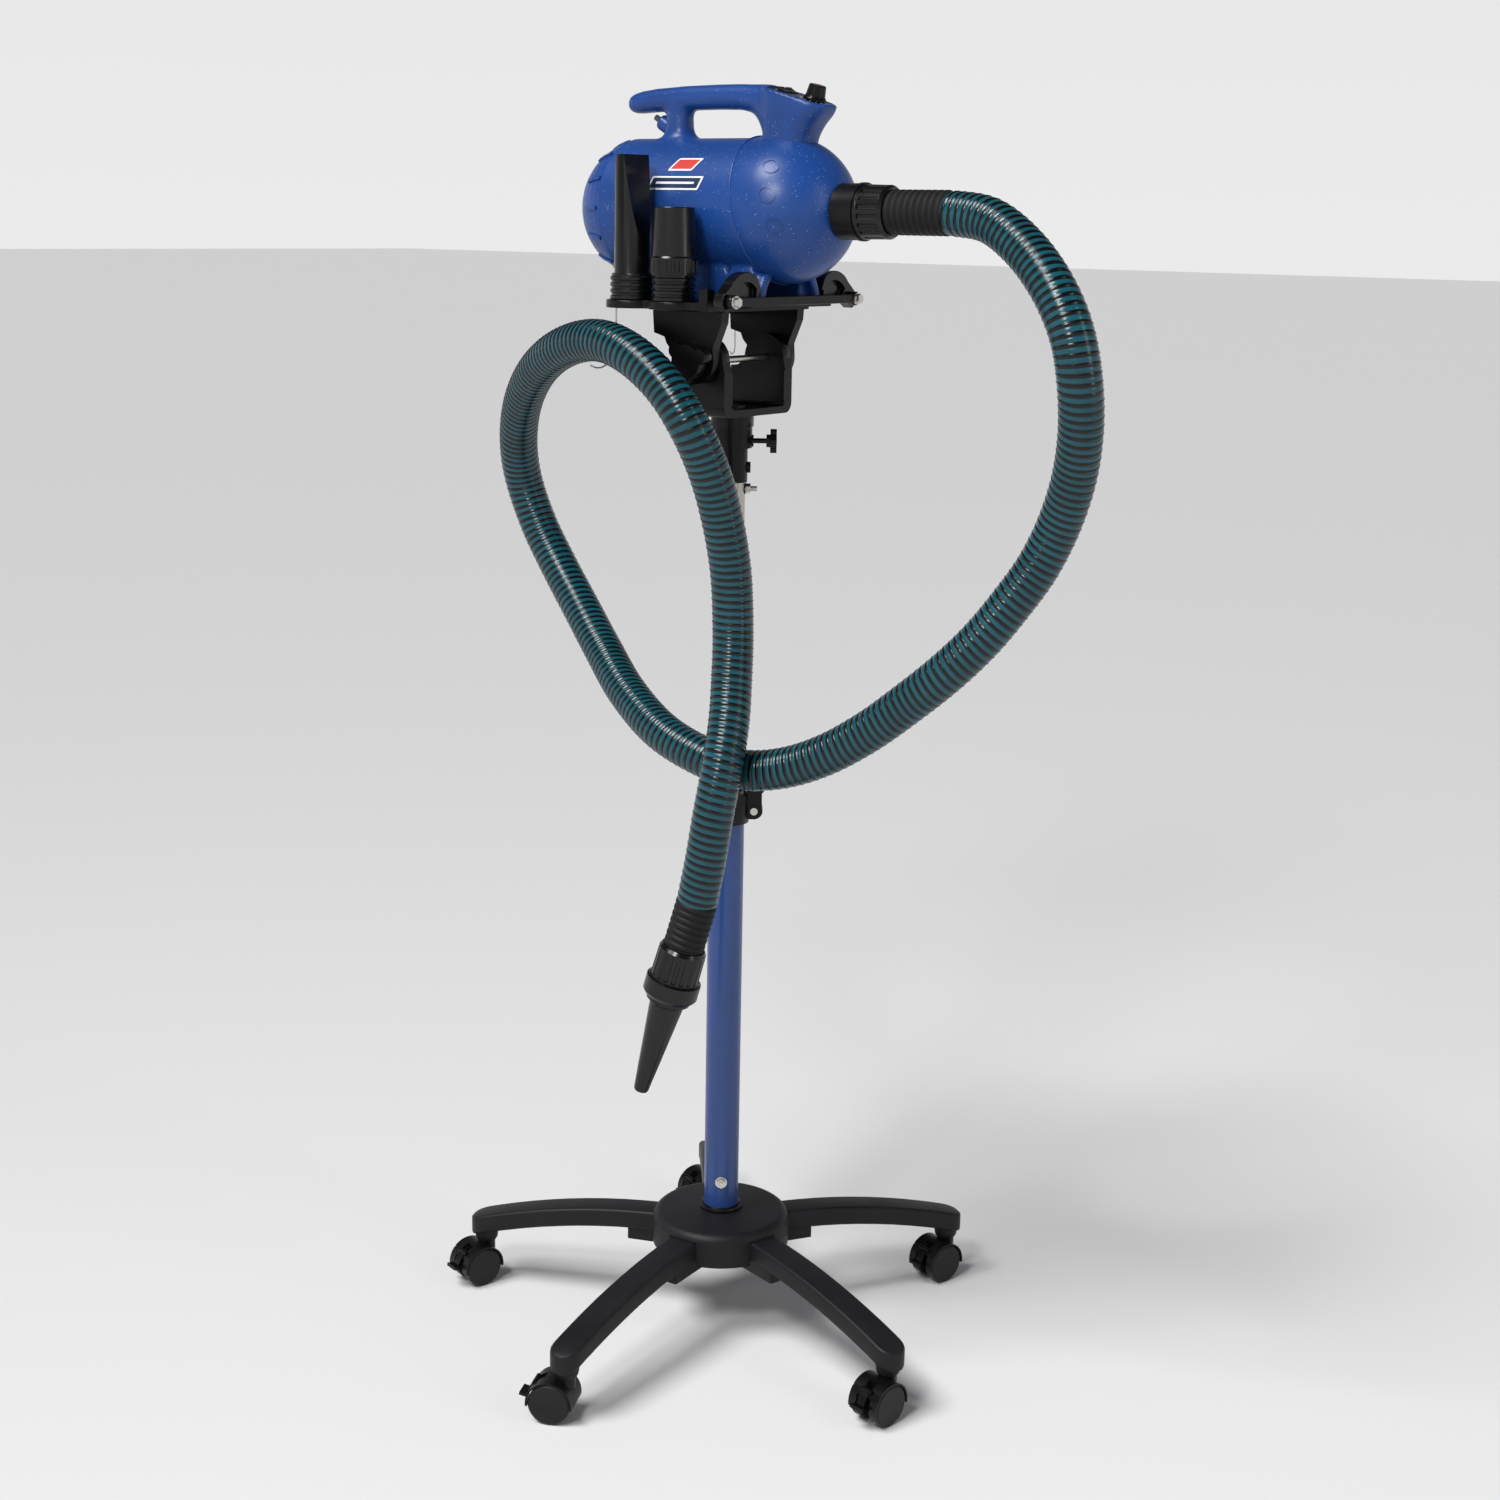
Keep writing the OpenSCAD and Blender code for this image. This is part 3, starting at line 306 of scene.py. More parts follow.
# %% Camera
eye = Vector((1.541, -2.075, 1.365))
azimuth, look_down, lean = math.radians(36), math.radians(13.58), math.radians(0.98)
camera_data = bpy.data.cameras.new("camera")
camera_data.sensor_width = 36.0
camera_data.lens = 52.9
camera = bpy.data.objects.new("camera", camera_data)
bpy.context.scene.collection.objects.link(camera)
level = Vector((math.cos(azimuth), math.sin(azimuth), 0))
ahead = Vector((-math.sin(azimuth) * math.cos(look_down),
                math.cos(azimuth) * math.cos(look_down), -math.sin(look_down)))
above = level.cross(ahead)
right = level * math.cos(lean) + above * math.sin(lean)
top = above * math.cos(lean) - level * math.sin(lean)
turned = Matrix((right, top, -ahead)).transposed().to_4x4()
camera.matrix_world = Matrix.Translation(eye) @ turned
bpy.context.scene.camera = camera


# %% Lamps and floor
def add_lamp(name, kind, place, aim, power):
    """A lamp at a place, turned towards the point it lights. Its data comes back."""
    data = bpy.data.lights.new(name, kind)
    data.energy = power
    lamp = bpy.data.objects.new(name, data)
    bpy.context.scene.collection.objects.link(lamp)
    lamp.location = place
    lamp.rotation_euler = (Vector(aim) - Vector(place)).to_track_quat("-Z", "Y").to_euler()
    return data


key = add_lamp("key", "AREA", (0.5, -2.5, 2.9), (0, 0, 1.1), 44)
key.shape, key.size, key.size_y = "RECTANGLE", 0.6, 0.6
strip = add_lamp("side", "AREA", (2.7, 0.2, 2.0), (0, 0, 0.9), 10)
strip.shape, strip.size, strip.size_y = "RECTANGLE", 0.5, 2.0
sun = add_lamp("daylight", "SUN", (-0.25, -0.55, 1.0), (0, 0, 0), 2.7)
sun.angle = math.radians(24)

# the room is white near the horizon and dimmer overhead, so tops and sides differ
world = bpy.data.worlds.new("studio")
bpy.context.scene.world = world
world.use_nodes = True
sky = world.node_tree.nodes["Background"]
sky.inputs["Strength"].default_value = 1.0
way = add_node(world, "ShaderNodeTexCoord").outputs["Generated"]
height = add_node(world, "ShaderNodeSeparateXYZ", links={"Vector": way}).outputs["Z"]
room = add_node(world, "ShaderNodeValToRGB", links={"Fac": height},
                stops=[(0.0, (0.83, 0.83, 0.83, 1)), (0.13, (0.8, 0.8, 0.8, 1)),
                       (0.3, (0.3, 0.3, 0.31, 1)), (0.6, (0.06, 0.06, 0.07, 1))])
world.node_tree.links.new(room.outputs["Color"], sky.inputs["Color"])
bpy.context.scene.view_settings.view_transform = "Standard"

if bpy.context.mode != "OBJECT":
    bpy.ops.object.mode_set(mode="OBJECT")
bpy.ops.object.select_all(action="DESELECT")
bpy.ops.mesh.primitive_plane_add(size=120, location=(0, 0, -0.0005))
floor = bpy.context.object
floor.name = "floor"
paper, shader = new_material("studio_paper", Roughness=0.9)
shader.inputs["Base Color"].default_value = colour("#dedede")
floor.data.materials.append(paper)

# %% [markdown]
# ## Modelling helpers
# Everything below is modelled as by hand. A primitive is added, its faces or edges are
# picked by where they are or which way they face, and an operator shapes them.

# %% Helpers for picking and shaping
def deselect():
    """Leaves edit mode and selects nothing, before any operator."""
    if bpy.context.mode != "OBJECT":
        bpy.ops.object.mode_set(mode="OBJECT")
    bpy.ops.object.select_all(action="DESELECT")


def begin(name):
    """Names the primitive that was just added and goes into edit mode."""
    piece = bpy.context.object
    piece.name = piece.data.name = name
    bpy.ops.object.mode_set(mode="EDIT")
    return piece


def pick(piece, test, kind="FACE"):
    """Selects the vertices, edges or faces that pass the test, and nothing else."""
    bpy.ops.mesh.select_mode(type=kind)
    bpy.ops.mesh.select_all(action="DESELECT")
    net = bmesh.from_edit_mesh(piece.data)
    for item in {"VERT": net.verts, "EDGE": net.edges, "FACE": net.faces}[kind]:
        if test(item):
            item.select_set(True)
    net.select_flush_mode()
    bmesh.update_edit_mesh(piece.data)


def edge_middle(edge):
    """The point half way along an edge."""
    return (edge.verts[0].co + edge.verts[1].co) / 2


def settle(piece, *coats, angle=35):
    """Leaves edit mode, bakes the piece's place into its mesh, and shades it."""
    if bpy.context.mode != "OBJECT":
        bpy.ops.object.mode_set(mode="OBJECT")
    deselect()
    piece.select_set(True)
    bpy.context.view_layer.objects.active = piece
    bpy.ops.object.transform_apply(location=True, rotation=True, scale=True)
    bpy.ops.object.shade_smooth_by_angle(angle=math.radians(angle))
    for coat in coats:
        piece.data.materials.append(coat)
    return piece


def modify(piece, kind, **settings):
    """Adds a modifier, sets it, and applies it."""
    bpy.context.view_layer.objects.active = piece
    made = piece.modifiers.new(kind.lower(), kind)
    for key, value in settings.items():
        setattr(made, key, value)
    bpy.ops.object.modifier_apply(modifier=made.name)
    return piece


def recalculate(piece):
    """Merges doubles and points every face outwards."""
    bpy.context.view_layer.objects.active = piece
    bpy.ops.object.mode_set(mode="EDIT")
    bpy.ops.mesh.select_all(action="SELECT")
    bpy.ops.mesh.remove_doubles(threshold=0.00001)
    bpy.ops.mesh.normals_make_consistent(inside=False)
    bpy.ops.object.mode_set(mode="OBJECT")
    return piece


def join(name, pieces):
    """Joins pieces into the first one."""
    deselect()
    for piece in pieces:
        piece.select_set(True)
    bpy.context.view_layer.objects.active = pieces[0]
    bpy.ops.object.join()
    pieces[0].name = pieces[0].data.name = name
    return pieces[0]


def copy_turned(piece, name, matrix):
    """A copy with its own mesh, moved by the matrix, its place baked in."""
    made = piece.copy()
    made.data = piece.data.copy()
    made.name = made.data.name = name
    bpy.context.scene.collection.objects.link(made)
    made.data.transform(matrix)
    return made


def loft(name, sections, corner=1.0, axis="Z", steps=6):
    """A closed bar through rounded rectangles. Each section is (centre, half x, half y)."""
    deselect()
    turn = {"Z": (0, 0, 0), "X": (0, math.pi / 2, 0)}[axis]
    centre, a, b = sections[0]
    bpy.ops.mesh.primitive_plane_add(size=2, location=centre, rotation=turn)
    piece = begin(name)
    scale = (a, b, 1) if axis == "Z" else (1, b, a)
    bpy.ops.transform.resize(value=scale, center_override=Vector(centre))
    bpy.ops.mesh.select_all(action="SELECT")
    bpy.ops.mesh.bevel(offset=corner * min(a, b), segments=steps, affect="VERTICES")
    bpy.ops.mesh.select_all(action="SELECT")
    for (old, oa, ob), (new, na, nb) in zip(sections, sections[1:]):
        step = Vector(new) - Vector(old)
        bpy.ops.mesh.extrude_region_move(TRANSFORM_OT_translate={"value": step})
        ratio = (na / oa, nb / ob, 1) if axis == "Z" else (1, nb / ob, na / oa)
        bpy.ops.transform.resize(value=ratio, center_override=Vector(new))
    bpy.ops.object.mode_set(mode="OBJECT")
    bpy.ops.object.transform_apply(location=True, rotation=True, scale=True)
    return recalculate(piece)


def facing(point, normal, spin=0.0):
    """The turn and place that put a flat shape on a surface, X level and Z outwards."""
    z = Vector(normal).normalized()
    x = Vector((0, 0, 1)).cross(z).normalized()
    y = z.cross(x)
    turn = Matrix((x, y, z)).transposed().to_4x4()
    return Matrix.Translation(point) @ turn @ Matrix.Rotation(spin, 4, "Z")


# %% [markdown]
# ## The hose
# The hose leaves the dryer, swings out to the right, passes in front of the post, loops up
# through the wire hanger below the dryer and hangs down to its nozzle. A tube swept along a
# smooth line is the only way to keep its length true. Its radius rises and falls with the
# winding, one spiral turn every nine millimetres, so the bead is real geometry.

# %% The hose's line
route = [
    (287, 0, 1373), (338, -6, 1366), (389, -20, 1338), (432, -36, 1300),
    (460, -44, 1257), (470, -40, 1210), (466, -24, 1159), (452, -6, 1107),
    (432, 4, 1055), (410, 2, 1007), (385, -8, 965), (356, -20, 923),
    (320, -31, 883), (275, -37, 843), (227, -44, 804), (176, -54, 771),
    (125, -65, 750), (75, -77, 743), (22, -80, 751), (-48, -70, 770),
    (-127, -36, 800), (-198, 3, 838), (-258, 30, 882), (-309, 46, 929),
    (-346, 50, 979), (-364, 42, 1036), (-352, 20, 1088), (-311, -16, 1140),
    (-249, -57, 1184), (-177, -93, 1214), (-107, -117, 1226), (-47, -133, 1215),
    (6, -139, 1184), (41, -137, 1142), (54, -117, 1093), (58, -96, 1038),
    (61, -81, 973), (64, -79, 903), (71, -90, 848), (80, -106, 805),
    (86, -125, 759), (83, -137, 704), (76, -142, 647), (67, -145, 597),
]
points = np.array(route, float) / 1000
ends = np.vstack([points[:1], points, points[-1:]])
# a spline through every point, whose slope at each comes from its two neighbours
steps_between = 40
fine = []
for k in range(len(points) - 1):
    a, b, c, d = ends[k:k + 4]
    for t in np.linspace(0, 1, steps_between, endpoint=False):
        fine.append(0.5 * (2 * b + (c - a) * t + (2 * a - 5 * b + 4 * c - d) * t ** 2
                           + (3 * b - a - 3 * c + d) * t ** 3))
fine = np.array(fine + [points[-1]])
reach = np.concatenate([[0], np.cumsum(np.linalg.norm(np.diff(fine, axis=0), axis=1))])
hose_length = float(reach[-1])
print("hose length, m:", round(hose_length, 3))

# %% The hose's skin
pitch, around_count, per_turn = 0.0090, 28, 8
cuff_r, valley_r, tape_rise, bead_rise = 0.0228, 0.0229, 0.0008, 0.0013
fade_length = 0.004
rings = int(hose_length / pitch * per_turn) + 1
along = np.linspace(0, hose_length, rings)
line = np.stack([np.interp(along, reach, fine[:, i]) for i in range(3)], 1)
heading = np.gradient(line, axis=0)
heading /= np.linalg.norm(heading, axis=1)[:, None]
side = np.zeros_like(line)
# the side direction is carried along the line, so that the skin never twists
s = np.array([0.0, 1.0, 0.0])
for k in range(rings):
    s = s - heading[k] * (s @ heading[k])
    s /= np.linalg.norm(s)
    side[k] = s
other = np.cross(heading, side)
# the phase runs from 0 to 1 in each turn: first the tape, then the bead
angles = 2 * np.pi * np.arange(around_count) / around_count
phase = (along[:, None] / pitch + angles[None, :] / (2 * np.pi)) % 1.0
tape = np.clip(np.sin(np.pi * np.clip((phase - 0.06) / 0.56, 0, 1)), 0, 1) ** 0.6
bead = np.clip(np.sin(np.pi * np.clip((phase - 0.64) / 0.38, 0, 1)), 0, 1) ** 0.6
radius = valley_r + tape_rise * tape + bead_rise * bead
fade = np.clip(np.minimum(along, hose_length - along) / fade_length, 0, 1)[:, None]
radius = cuff_r + (radius - cuff_r) * fade
skin = (line[:, None, :] + radius[..., None] * (np.cos(angles)[None, :, None] * side[:, None, :]
        + np.sin(angles)[None, :, None] * other[:, None, :]))
verts = skin.reshape(-1, 3)
k, j = np.meshgrid(np.arange(rings - 1), np.arange(around_count), indexing="ij")
n = (j + 1) % around_count
faces = np.stack([k * around_count + j, k * around_count + n, (k + 1) * around_count + n,
                  (k + 1) * around_count + j], -1).reshape(-1, 4)
hose_mesh = bpy.data.meshes.new("hose_skin")
hose_mesh.from_pydata(verts.tolist(), [], faces.tolist())
winding = hose_mesh.uv_layers.new(name="winding")
turns = along / pitch
uv = np.stack([np.stack([(j + q) / around_count, turns[k + p] + (j + q) / around_count], -1)
               for p, q in ((0, 0), (0, 1), (1, 1), (1, 0))], 2).reshape(-1, 2)
winding.data.foreach_set("uv", uv.astype(np.float32).ravel())
hose = bpy.data.objects.new("hose_skin", hose_mesh)
bpy.context.scene.collection.objects.link(hose)
for polygon in hose_mesh.polygons:
    polygon.use_smooth = True
hose_mesh.materials.append(hose_vinyl)
print("hose faces", len(hose_mesh.polygons))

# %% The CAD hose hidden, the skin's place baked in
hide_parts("hose")
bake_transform(hose)

# %% [markdown]
# ## The dryer's barrel and handle
# The real shell is one blow-moulded part: barrel, posts, handle, switch head and feet
# flow into each other with soft fillets. Simple closed shapes are joined, and a voxel
# remesh melts them into one skin; smoothing then rounds every inner corner, more where
# the mould has a larger radius. A clean cylinder pulls the barrel back to its true size.

# %% Blanks of the shell
axis_z, body_r, lip_r, wall = 1.373, 0.079, 0.0806, 0.003
rear_split, front_x = -0.138, 0.072
seam_lean = math.radians(12)
seam_point = Vector((0.053, 0, axis_z))
seam_normal = Vector((math.cos(seam_lean), 0, math.sin(seam_lean)))
along_x = (0, math.pi / 2, 0)
gland_lean = math.radians(60)
gland_turn = (0, -gland_lean, 0)


def cylinder(name, place, r, depth, turn=(0, 0, 0), count=64):
    """A capped cylinder, ready to be cut or bevelled."""
    deselect()
    bpy.ops.mesh.primitive_cylinder_add(vertices=count, radius=r, depth=depth,
                                        location=place, rotation=turn)
    piece = begin(name)
    bpy.ops.object.mode_set(mode="OBJECT")
    bpy.ops.object.transform_apply(location=True, rotation=True, scale=True)
    return piece


def slice_off(piece, point, normal, fill=False, where=lambda f: True):
    """Cuts the faces that pass the test with a plane, and drops the normal's side."""
    deselect()
    piece.select_set(True)
    bpy.context.view_layer.objects.active = piece
    bpy.ops.object.mode_set(mode="EDIT")
    pick(piece, where)
    bpy.ops.mesh.bisect(plane_co=point, plane_no=normal, use_fill=fill, clear_outer=True)
    bpy.ops.object.mode_set(mode="OBJECT")
    return piece


barrel_rear, barrel_front = -0.150, 0.064
barrel = cylinder("barrel", ((barrel_rear + barrel_front) / 2, 0, axis_z), body_r,
                  barrel_front - barrel_rear, along_x, 128)
slice_off(barrel, seam_point + 0.004 * seam_normal, seam_normal, fill=True)
grip = loft("grip", [
    ((-0.1522, 0, 1.4908), 0.0034, 0.0044), ((-0.1512, 0, 1.4909), 0.0066, 0.0086),
    ((-0.1480, 0, 1.4911), 0.0094, 0.0122), ((-0.1420, 0, 1.4916), 0.0113, 0.0144),
    ((-0.1320, 0, 1.4928), 0.0123, 0.0152), ((-0.1120, 0, 1.4945), 0.0130, 0.0154),
    ((-0.0700, 0, 1.4962), 0.0135, 0.0154), ((-0.0200, 0, 1.4968), 0.0138, 0.0154),
    ((0.0080, 0, 1.4964), 0.0140, 0.0158), ((0.0240, 0, 1.4945), 0.0152, 0.0168),
    ((0.0360, 0, 1.4900), 0.0195, 0.0190), ((0.0440, 0, 1.4830), 0.0262, 0.0210),
    ((0.0520, 0, 1.4730), 0.0360, 0.0225)], axis="X")
rear_post = loft("rear_post", [
    ((-0.081, 0, 1.438), 0.0300, 0.0260), ((-0.081, 0, 1.4505), 0.0240, 0.0200),
    ((-0.081, 0, 1.4560), 0.0190, 0.0168), ((-0.081, 0, 1.4630), 0.0164, 0.0152),
    ((-0.081, 0, 1.4760), 0.0160, 0.0145), ((-0.081, 0, 1.4900), 0.0200, 0.0145)])
head_post = loft("head_post", [
    ((0.0725, 0, 1.408), 0.0330, 0.0300), ((0.0725, 0, 1.428), 0.0300, 0.0280),
    ((0.0735, 0, 1.442), 0.0290, 0.0265), ((0.0755, 0, 1.454), 0.0305, 0.0262),
    ((0.0795, 0, 1.466), 0.0345, 0.0268), ((0.0840, 0, 1.476), 0.0400, 0.0280),
    ((0.0860, 0, 1.485), 0.0430, 0.0286), ((0.0860, 0, 1.520), 0.0430, 0.0286)], corner=0.75)
slope = math.radians(15)
panel_x, panel_z = 0.048, 1.507
slice_off(head_post, (panel_x, 0, panel_z + 0.0002), (math.sin(slope), 0, math.cos(slope)),
          fill=True)
print("blanks", [p.name for p in (barrel, grip, rear_post, head_post)])

# %% Feet of the shell
rails = []
for hand in (-1, 1):
    rail = [(-0.092, 0.0185), (-0.086, 0.0200), (0.025, 0.0200), (0.030, 0.0158), (0.035, 0.0200),
            (0.060, 0.0200), (0.066, 0.0185)]
    rails.append(loft(f"rail_{hand}", [((x, hand * 0.0450, 1.270 + h), h, 0.0085)
                                       for x, h in rail], corner=0.25, axis="X"))
    rails.append(loft(f"leg_{hand}", [
        ((0.0690, hand * 0.0535, 1.2700), 0.0120, 0.0065),
        ((0.0690, hand * 0.0528, 1.2810), 0.0120, 0.0062),
        ((0.0690, hand * 0.0500, 1.2890), 0.0120, 0.0062),
        ((0.0690, hand * 0.0450, 1.2970), 0.0118, 0.0070),
        ((0.0685, hand * 0.0385, 1.3050), 0.0110, 0.0090)], corner=0.35))
print("feet", len(rails))

# %% One moulded skin
housing = join("housing_shell", [barrel, grip, rear_post, head_post, *rails])
modify(housing, "REMESH", mode="VOXEL", voxel_size=0.0022, adaptivity=0.0)
bpy.ops.object.mode_set(mode="EDIT")
bpy.ops.mesh.select_all(action="SELECT")
bpy.ops.mesh.vertices_smooth(factor=0.5, repeat=7)


def off_axis(co):
    """Distance from the barrel's axis."""
    return math.hypot(co.y, co.z - axis_z)


# the mould's larger radii, under the grip by the head and at the rear post's foot and top:
# each row has the place along X, the reach in X and Y, the lowest and highest Z, the passes
for x, reach_x, reach_y, low, high, times in [
        (0.041, 0.017, 0.024, 1.455, 1.488, 40), (-0.081, 0.034, 0.030, 1.444, 1.466, 30),
        (-0.081, 0.026, 0.020, 1.472, 1.486, 16)]:
    pick(housing, lambda v: low < v.co.z < high and abs(v.co.x - x) < reach_x
         and abs(v.co.y) < reach_y, "VERT")
    bpy.ops.mesh.vertices_smooth(factor=0.5, repeat=times)
# the barrel's own skin, which the gauge brings back to its true radius
pick(housing, lambda v: v.co.x < 0.052 and 0.070 < off_axis(v.co) < 0.0796, "VERT")
housing.vertex_groups.new(name="barrel")
bpy.ops.object.vertex_group_assign()
bpy.ops.object.mode_set(mode="OBJECT")
gauge = cylinder("gauge", (0, 0, axis_z), body_r, 0.6, along_x, 192)
modify(housing, "SHRINKWRAP", target=gauge, vertex_group="barrel")
bpy.data.objects.remove(gauge)

# %% Open ends, wall and recess
slice_off(housing, (rear_split + 0.0004, 0, 0), (-1, 0, 0),
          where=lambda f: off_axis(f.calc_center_median()) < 0.085)
bpy.ops.object.mode_set(mode="EDIT")
pick(housing, lambda f: f.calc_center_median().x > 0.03
     and off_axis(f.calc_center_median()) < 0.072
     and (f.calc_center_median() - seam_point).dot(seam_normal) > 0.001)
bpy.ops.mesh.delete(type="FACE")
bpy.ops.object.mode_set(mode="OBJECT")
modify(housing, "SOLIDIFY", thickness=wall, offset=-1, use_rim=True)
panel_turn = Matrix.Translation((panel_x, 0, panel_z)) @ Matrix.Rotation(slope, 4, "Y")


def on_panel(piece):
    """Moves a piece from the panel's own frame to its place on the sloping head."""
    piece.data.transform(panel_turn)
    piece.data.update()
    return piece


def cut(piece, cutter):
    """Takes one closed shape out of another."""
    modify(piece, "BOOLEAN", operation="DIFFERENCE", object=cutter, solver="EXACT")
    bpy.data.objects.remove(cutter)
    return piece


recess = on_panel(loft("recess", [((0.041, 0, -0.003), 0.037, 0.022),
                                  ((0.041, 0, 0.012), 0.037, 0.022)], corner=0.45))
cut(housing, recess)
cut(housing, cylinder("cord_way", (-0.103, 0, 1.468), 0.0035, 0.03, gland_turn, 24))
settle(housing, shell_blue, angle=40)
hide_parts("main_housing")
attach(housing, "head")
print("housing faces", len(housing.data.polygons))

# %% [markdown]
# ## The front cover
# The blower's nose is a second moulding. It overlaps the barrel with a slightly raised
# lip, and its edge leans back, so the seam reads as a bright line round the body. A sphere
# gives the dome, its rim is extruded back over the barrel, and a leaning cut makes the edge.

# %% Front cover
deselect()
outlet_r = 0.0268
bpy.ops.mesh.primitive_uv_sphere_add(segments=128, ring_count=64, radius=lip_r,
                                     location=(front_x, 0, axis_z), rotation=along_x)
cover = begin("front_dome")
bpy.ops.object.mode_set(mode="OBJECT")
bpy.ops.object.transform_apply(location=True, rotation=True, scale=True)
slice_off(cover, (front_x, 0, 0), (-1, 0, 0))
bpy.ops.object.mode_set(mode="EDIT")
pick(cover, lambda e: e.is_boundary, "EDGE")
bpy.ops.mesh.extrude_region_move(TRANSFORM_OT_translate={"value": (-0.05, 0, 0)})
bpy.ops.object.mode_set(mode="OBJECT")
slice_off(cover, seam_point, -seam_normal)
slice_off(cover, (front_x + math.sqrt(lip_r ** 2 - outlet_r ** 2), 0, 0), (1, 0, 0))
recalculate(cover)
modify(cover, "SOLIDIFY", thickness=wall, offset=-1, use_rim=True)
bpy.ops.object.mode_set(mode="EDIT")
pick(cover, lambda e: abs((edge_middle(e) - seam_point).dot(seam_normal)) < 0.0002
     and off_axis(edge_middle(e)) > lip_r - 0.0003, "EDGE")
bpy.ops.mesh.bevel(offset=0.0009, segments=3, affect="EDGES")
settle(cover, shell_blue)
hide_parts("front_cover")
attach(cover, "head")
print("front cover faces", len(cover.data.polygons))

# %% Bead along the seam
deselect()
bpy.ops.mesh.primitive_torus_add(major_segments=180, minor_segments=10, major_radius=lip_r,
                                 minor_radius=0.0009)
bead = begin("seam_bead")
bpy.ops.transform.resize(value=(1, 1 / math.cos(seam_lean), 1))
bpy.ops.object.mode_set(mode="OBJECT")
bead.data.transform(facing(seam_point + 0.0008 * seam_normal, seam_normal))
cut(bead, cylinder("clear", (0.0725, 0, 1.455), 0.030, 0.05))
recalculate(bead)
settle(bead, shell_blue)
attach(bead, "head")

# %% [markdown]
# Three oval outlines stand a hair above the dome, marks of the mould. Each is a thin ring
# laid on the dome by shrinkwrapping and then thickened.

# %% Ovals on the dome
dome_centre = Vector((front_x, 0, axis_z))
ovals = []
for k, spot in enumerate([(0.0929, -0.0619, 1.4191), (0.0970, -0.0743, 1.3891),
                          (0.1051, -0.0710, 1.3567)]):
    deselect()
    bpy.ops.mesh.primitive_circle_add(vertices=64, radius=0.0105, fill_type="NGON")
    oval = begin(f"oval_{k}")
    bpy.ops.transform.resize(value=(1, 0.84, 1))
    bpy.ops.mesh.inset(thickness=0.0011)
    bpy.ops.mesh.delete(type="FACE")
    bpy.ops.object.mode_set(mode="OBJECT")
    out = (Vector(spot) - dome_centre).normalized()
    oval.data.transform(facing(dome_centre + out * (lip_r + 0.004), out, math.radians(-22)))
    modify(oval, "SHRINKWRAP", target=cover, wrap_mode="ABOVE_SURFACE", offset=0.00005)
    modify(oval, "SOLIDIFY", thickness=0.0016, offset=0)
    ovals.append(oval)
marks = join("dome_ovals", ovals)
recalculate(marks)
settle(marks, shell_blue)
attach(marks, "head")

# %% [markdown]
# ## The badge
# A printed vinyl sticker curves round the near side of the barrel. Its design here is a
# plain one: a red lozenge over a slanted navy band, each with a white edge. Every layer is
# a small grid that is slanted, rounded at its corners and wrapped on the barrel.

# %% Badge layers
def sticker(name, middle, size, slant, corner, lift, coat):
    """One layer of film: a slanted patch with rounded corners, wrapped on the barrel."""
    deselect()
    bpy.ops.mesh.primitive_grid_add(x_subdivisions=16, y_subdivisions=8, size=1)
    piece = begin(name)
    bpy.ops.transform.resize(value=(size[0], size[1], 1))
    pick(piece, lambda v: abs(v.co.x) > 0.49 * size[0] and abs(v.co.y) > 0.49 * size[1], "VERT")
    bpy.ops.mesh.bevel(offset=corner, segments=4, affect="VERTICES")
    bpy.ops.object.mode_set(mode="OBJECT")
    piece.data.transform(Matrix(((1, slant, 0, 0), (0, 1, 0, 0), (0, 0, 1, 0), (0, 0, 0, 1))))
    out = Vector((0, middle[1], middle[2] - axis_z)).normalized()
    piece.data.transform(facing(Vector(middle), out))
    modify(piece, "SHRINKWRAP", target=housing, wrap_mode="ABOVE_SURFACE", offset=lift)
    modify(piece, "SOLIDIFY", thickness=0.0001, offset=1)
    recalculate(piece)
    settle(piece, coat)
    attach(piece, "head")
    return piece


band, crest = (-0.030, -0.0760, 1.4020), (-0.024, -0.0640, 1.4230)
under, middle_layer, over = 0.00015, 0.00032, 0.00048
for name, middle, size, slant, corner, lift, coat in [
        ("badge_band_edge", band, (0.072, 0.0165), 0.30, 0.0018, under, white_film),
        ("badge_band", band, (0.067, 0.0122), 0.30, 0.0012, middle_layer, navy_film),
        ("badge_stripe", band, (0.054, 0.0026), 0.30, 0.0006, over, white_film),
        ("badge_crest_edge", crest, (0.034, 0.0180), 0.55, 0.0020, under, white_film),
        ("badge_crest", crest, (0.029, 0.0134), 0.55, 0.0012, middle_layer, red_film)]:
    print("badge layer", sticker(name, middle, size, slant, corner, lift, coat).name)

# %% [markdown]
# ## The control panel
# A black plate sits in the recess of the sloping head. It has square windows for two
# rockers and a hole for the speed knob; a printed scale of short ticks runs round the knob.

# %% Control panel
plate = loft("control_plate", [((0.041, 0, -0.0028), 0.0366, 0.0216),
                               ((0.041, 0, -0.0004), 0.0366, 0.0216)], corner=0.45)
bpy.ops.object.mode_set(mode="EDIT")
pick(plate, lambda e: min(v.co.z for v in e.verts) > -0.0006, "EDGE")
bpy.ops.mesh.bevel(offset=0.0006, segments=2, affect="EDGES")
bpy.ops.object.mode_set(mode="OBJECT")
for hand in (-1, 1):
    cut(plate, loft("window", [((0.0225, hand * 0.0068, -0.02), 0.0058, 0.0058),
                               ((0.0225, hand * 0.0068, 0.02), 0.0058, 0.0058)], corner=0.1))
cut(plate, cylinder("bore", (0.060, 0, 0), 0.0032, 0.02, count=32))
on_panel(plate)
settle(plate, black_satin)
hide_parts("control_panel")
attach(plate, "head")

# %% Printed ticks and the knob's pointer
plate_top, knob_x, window_y = -0.0004, 0.060, 0.0068
knob_place = Matrix.Translation((knob_x, 0, plate_top))


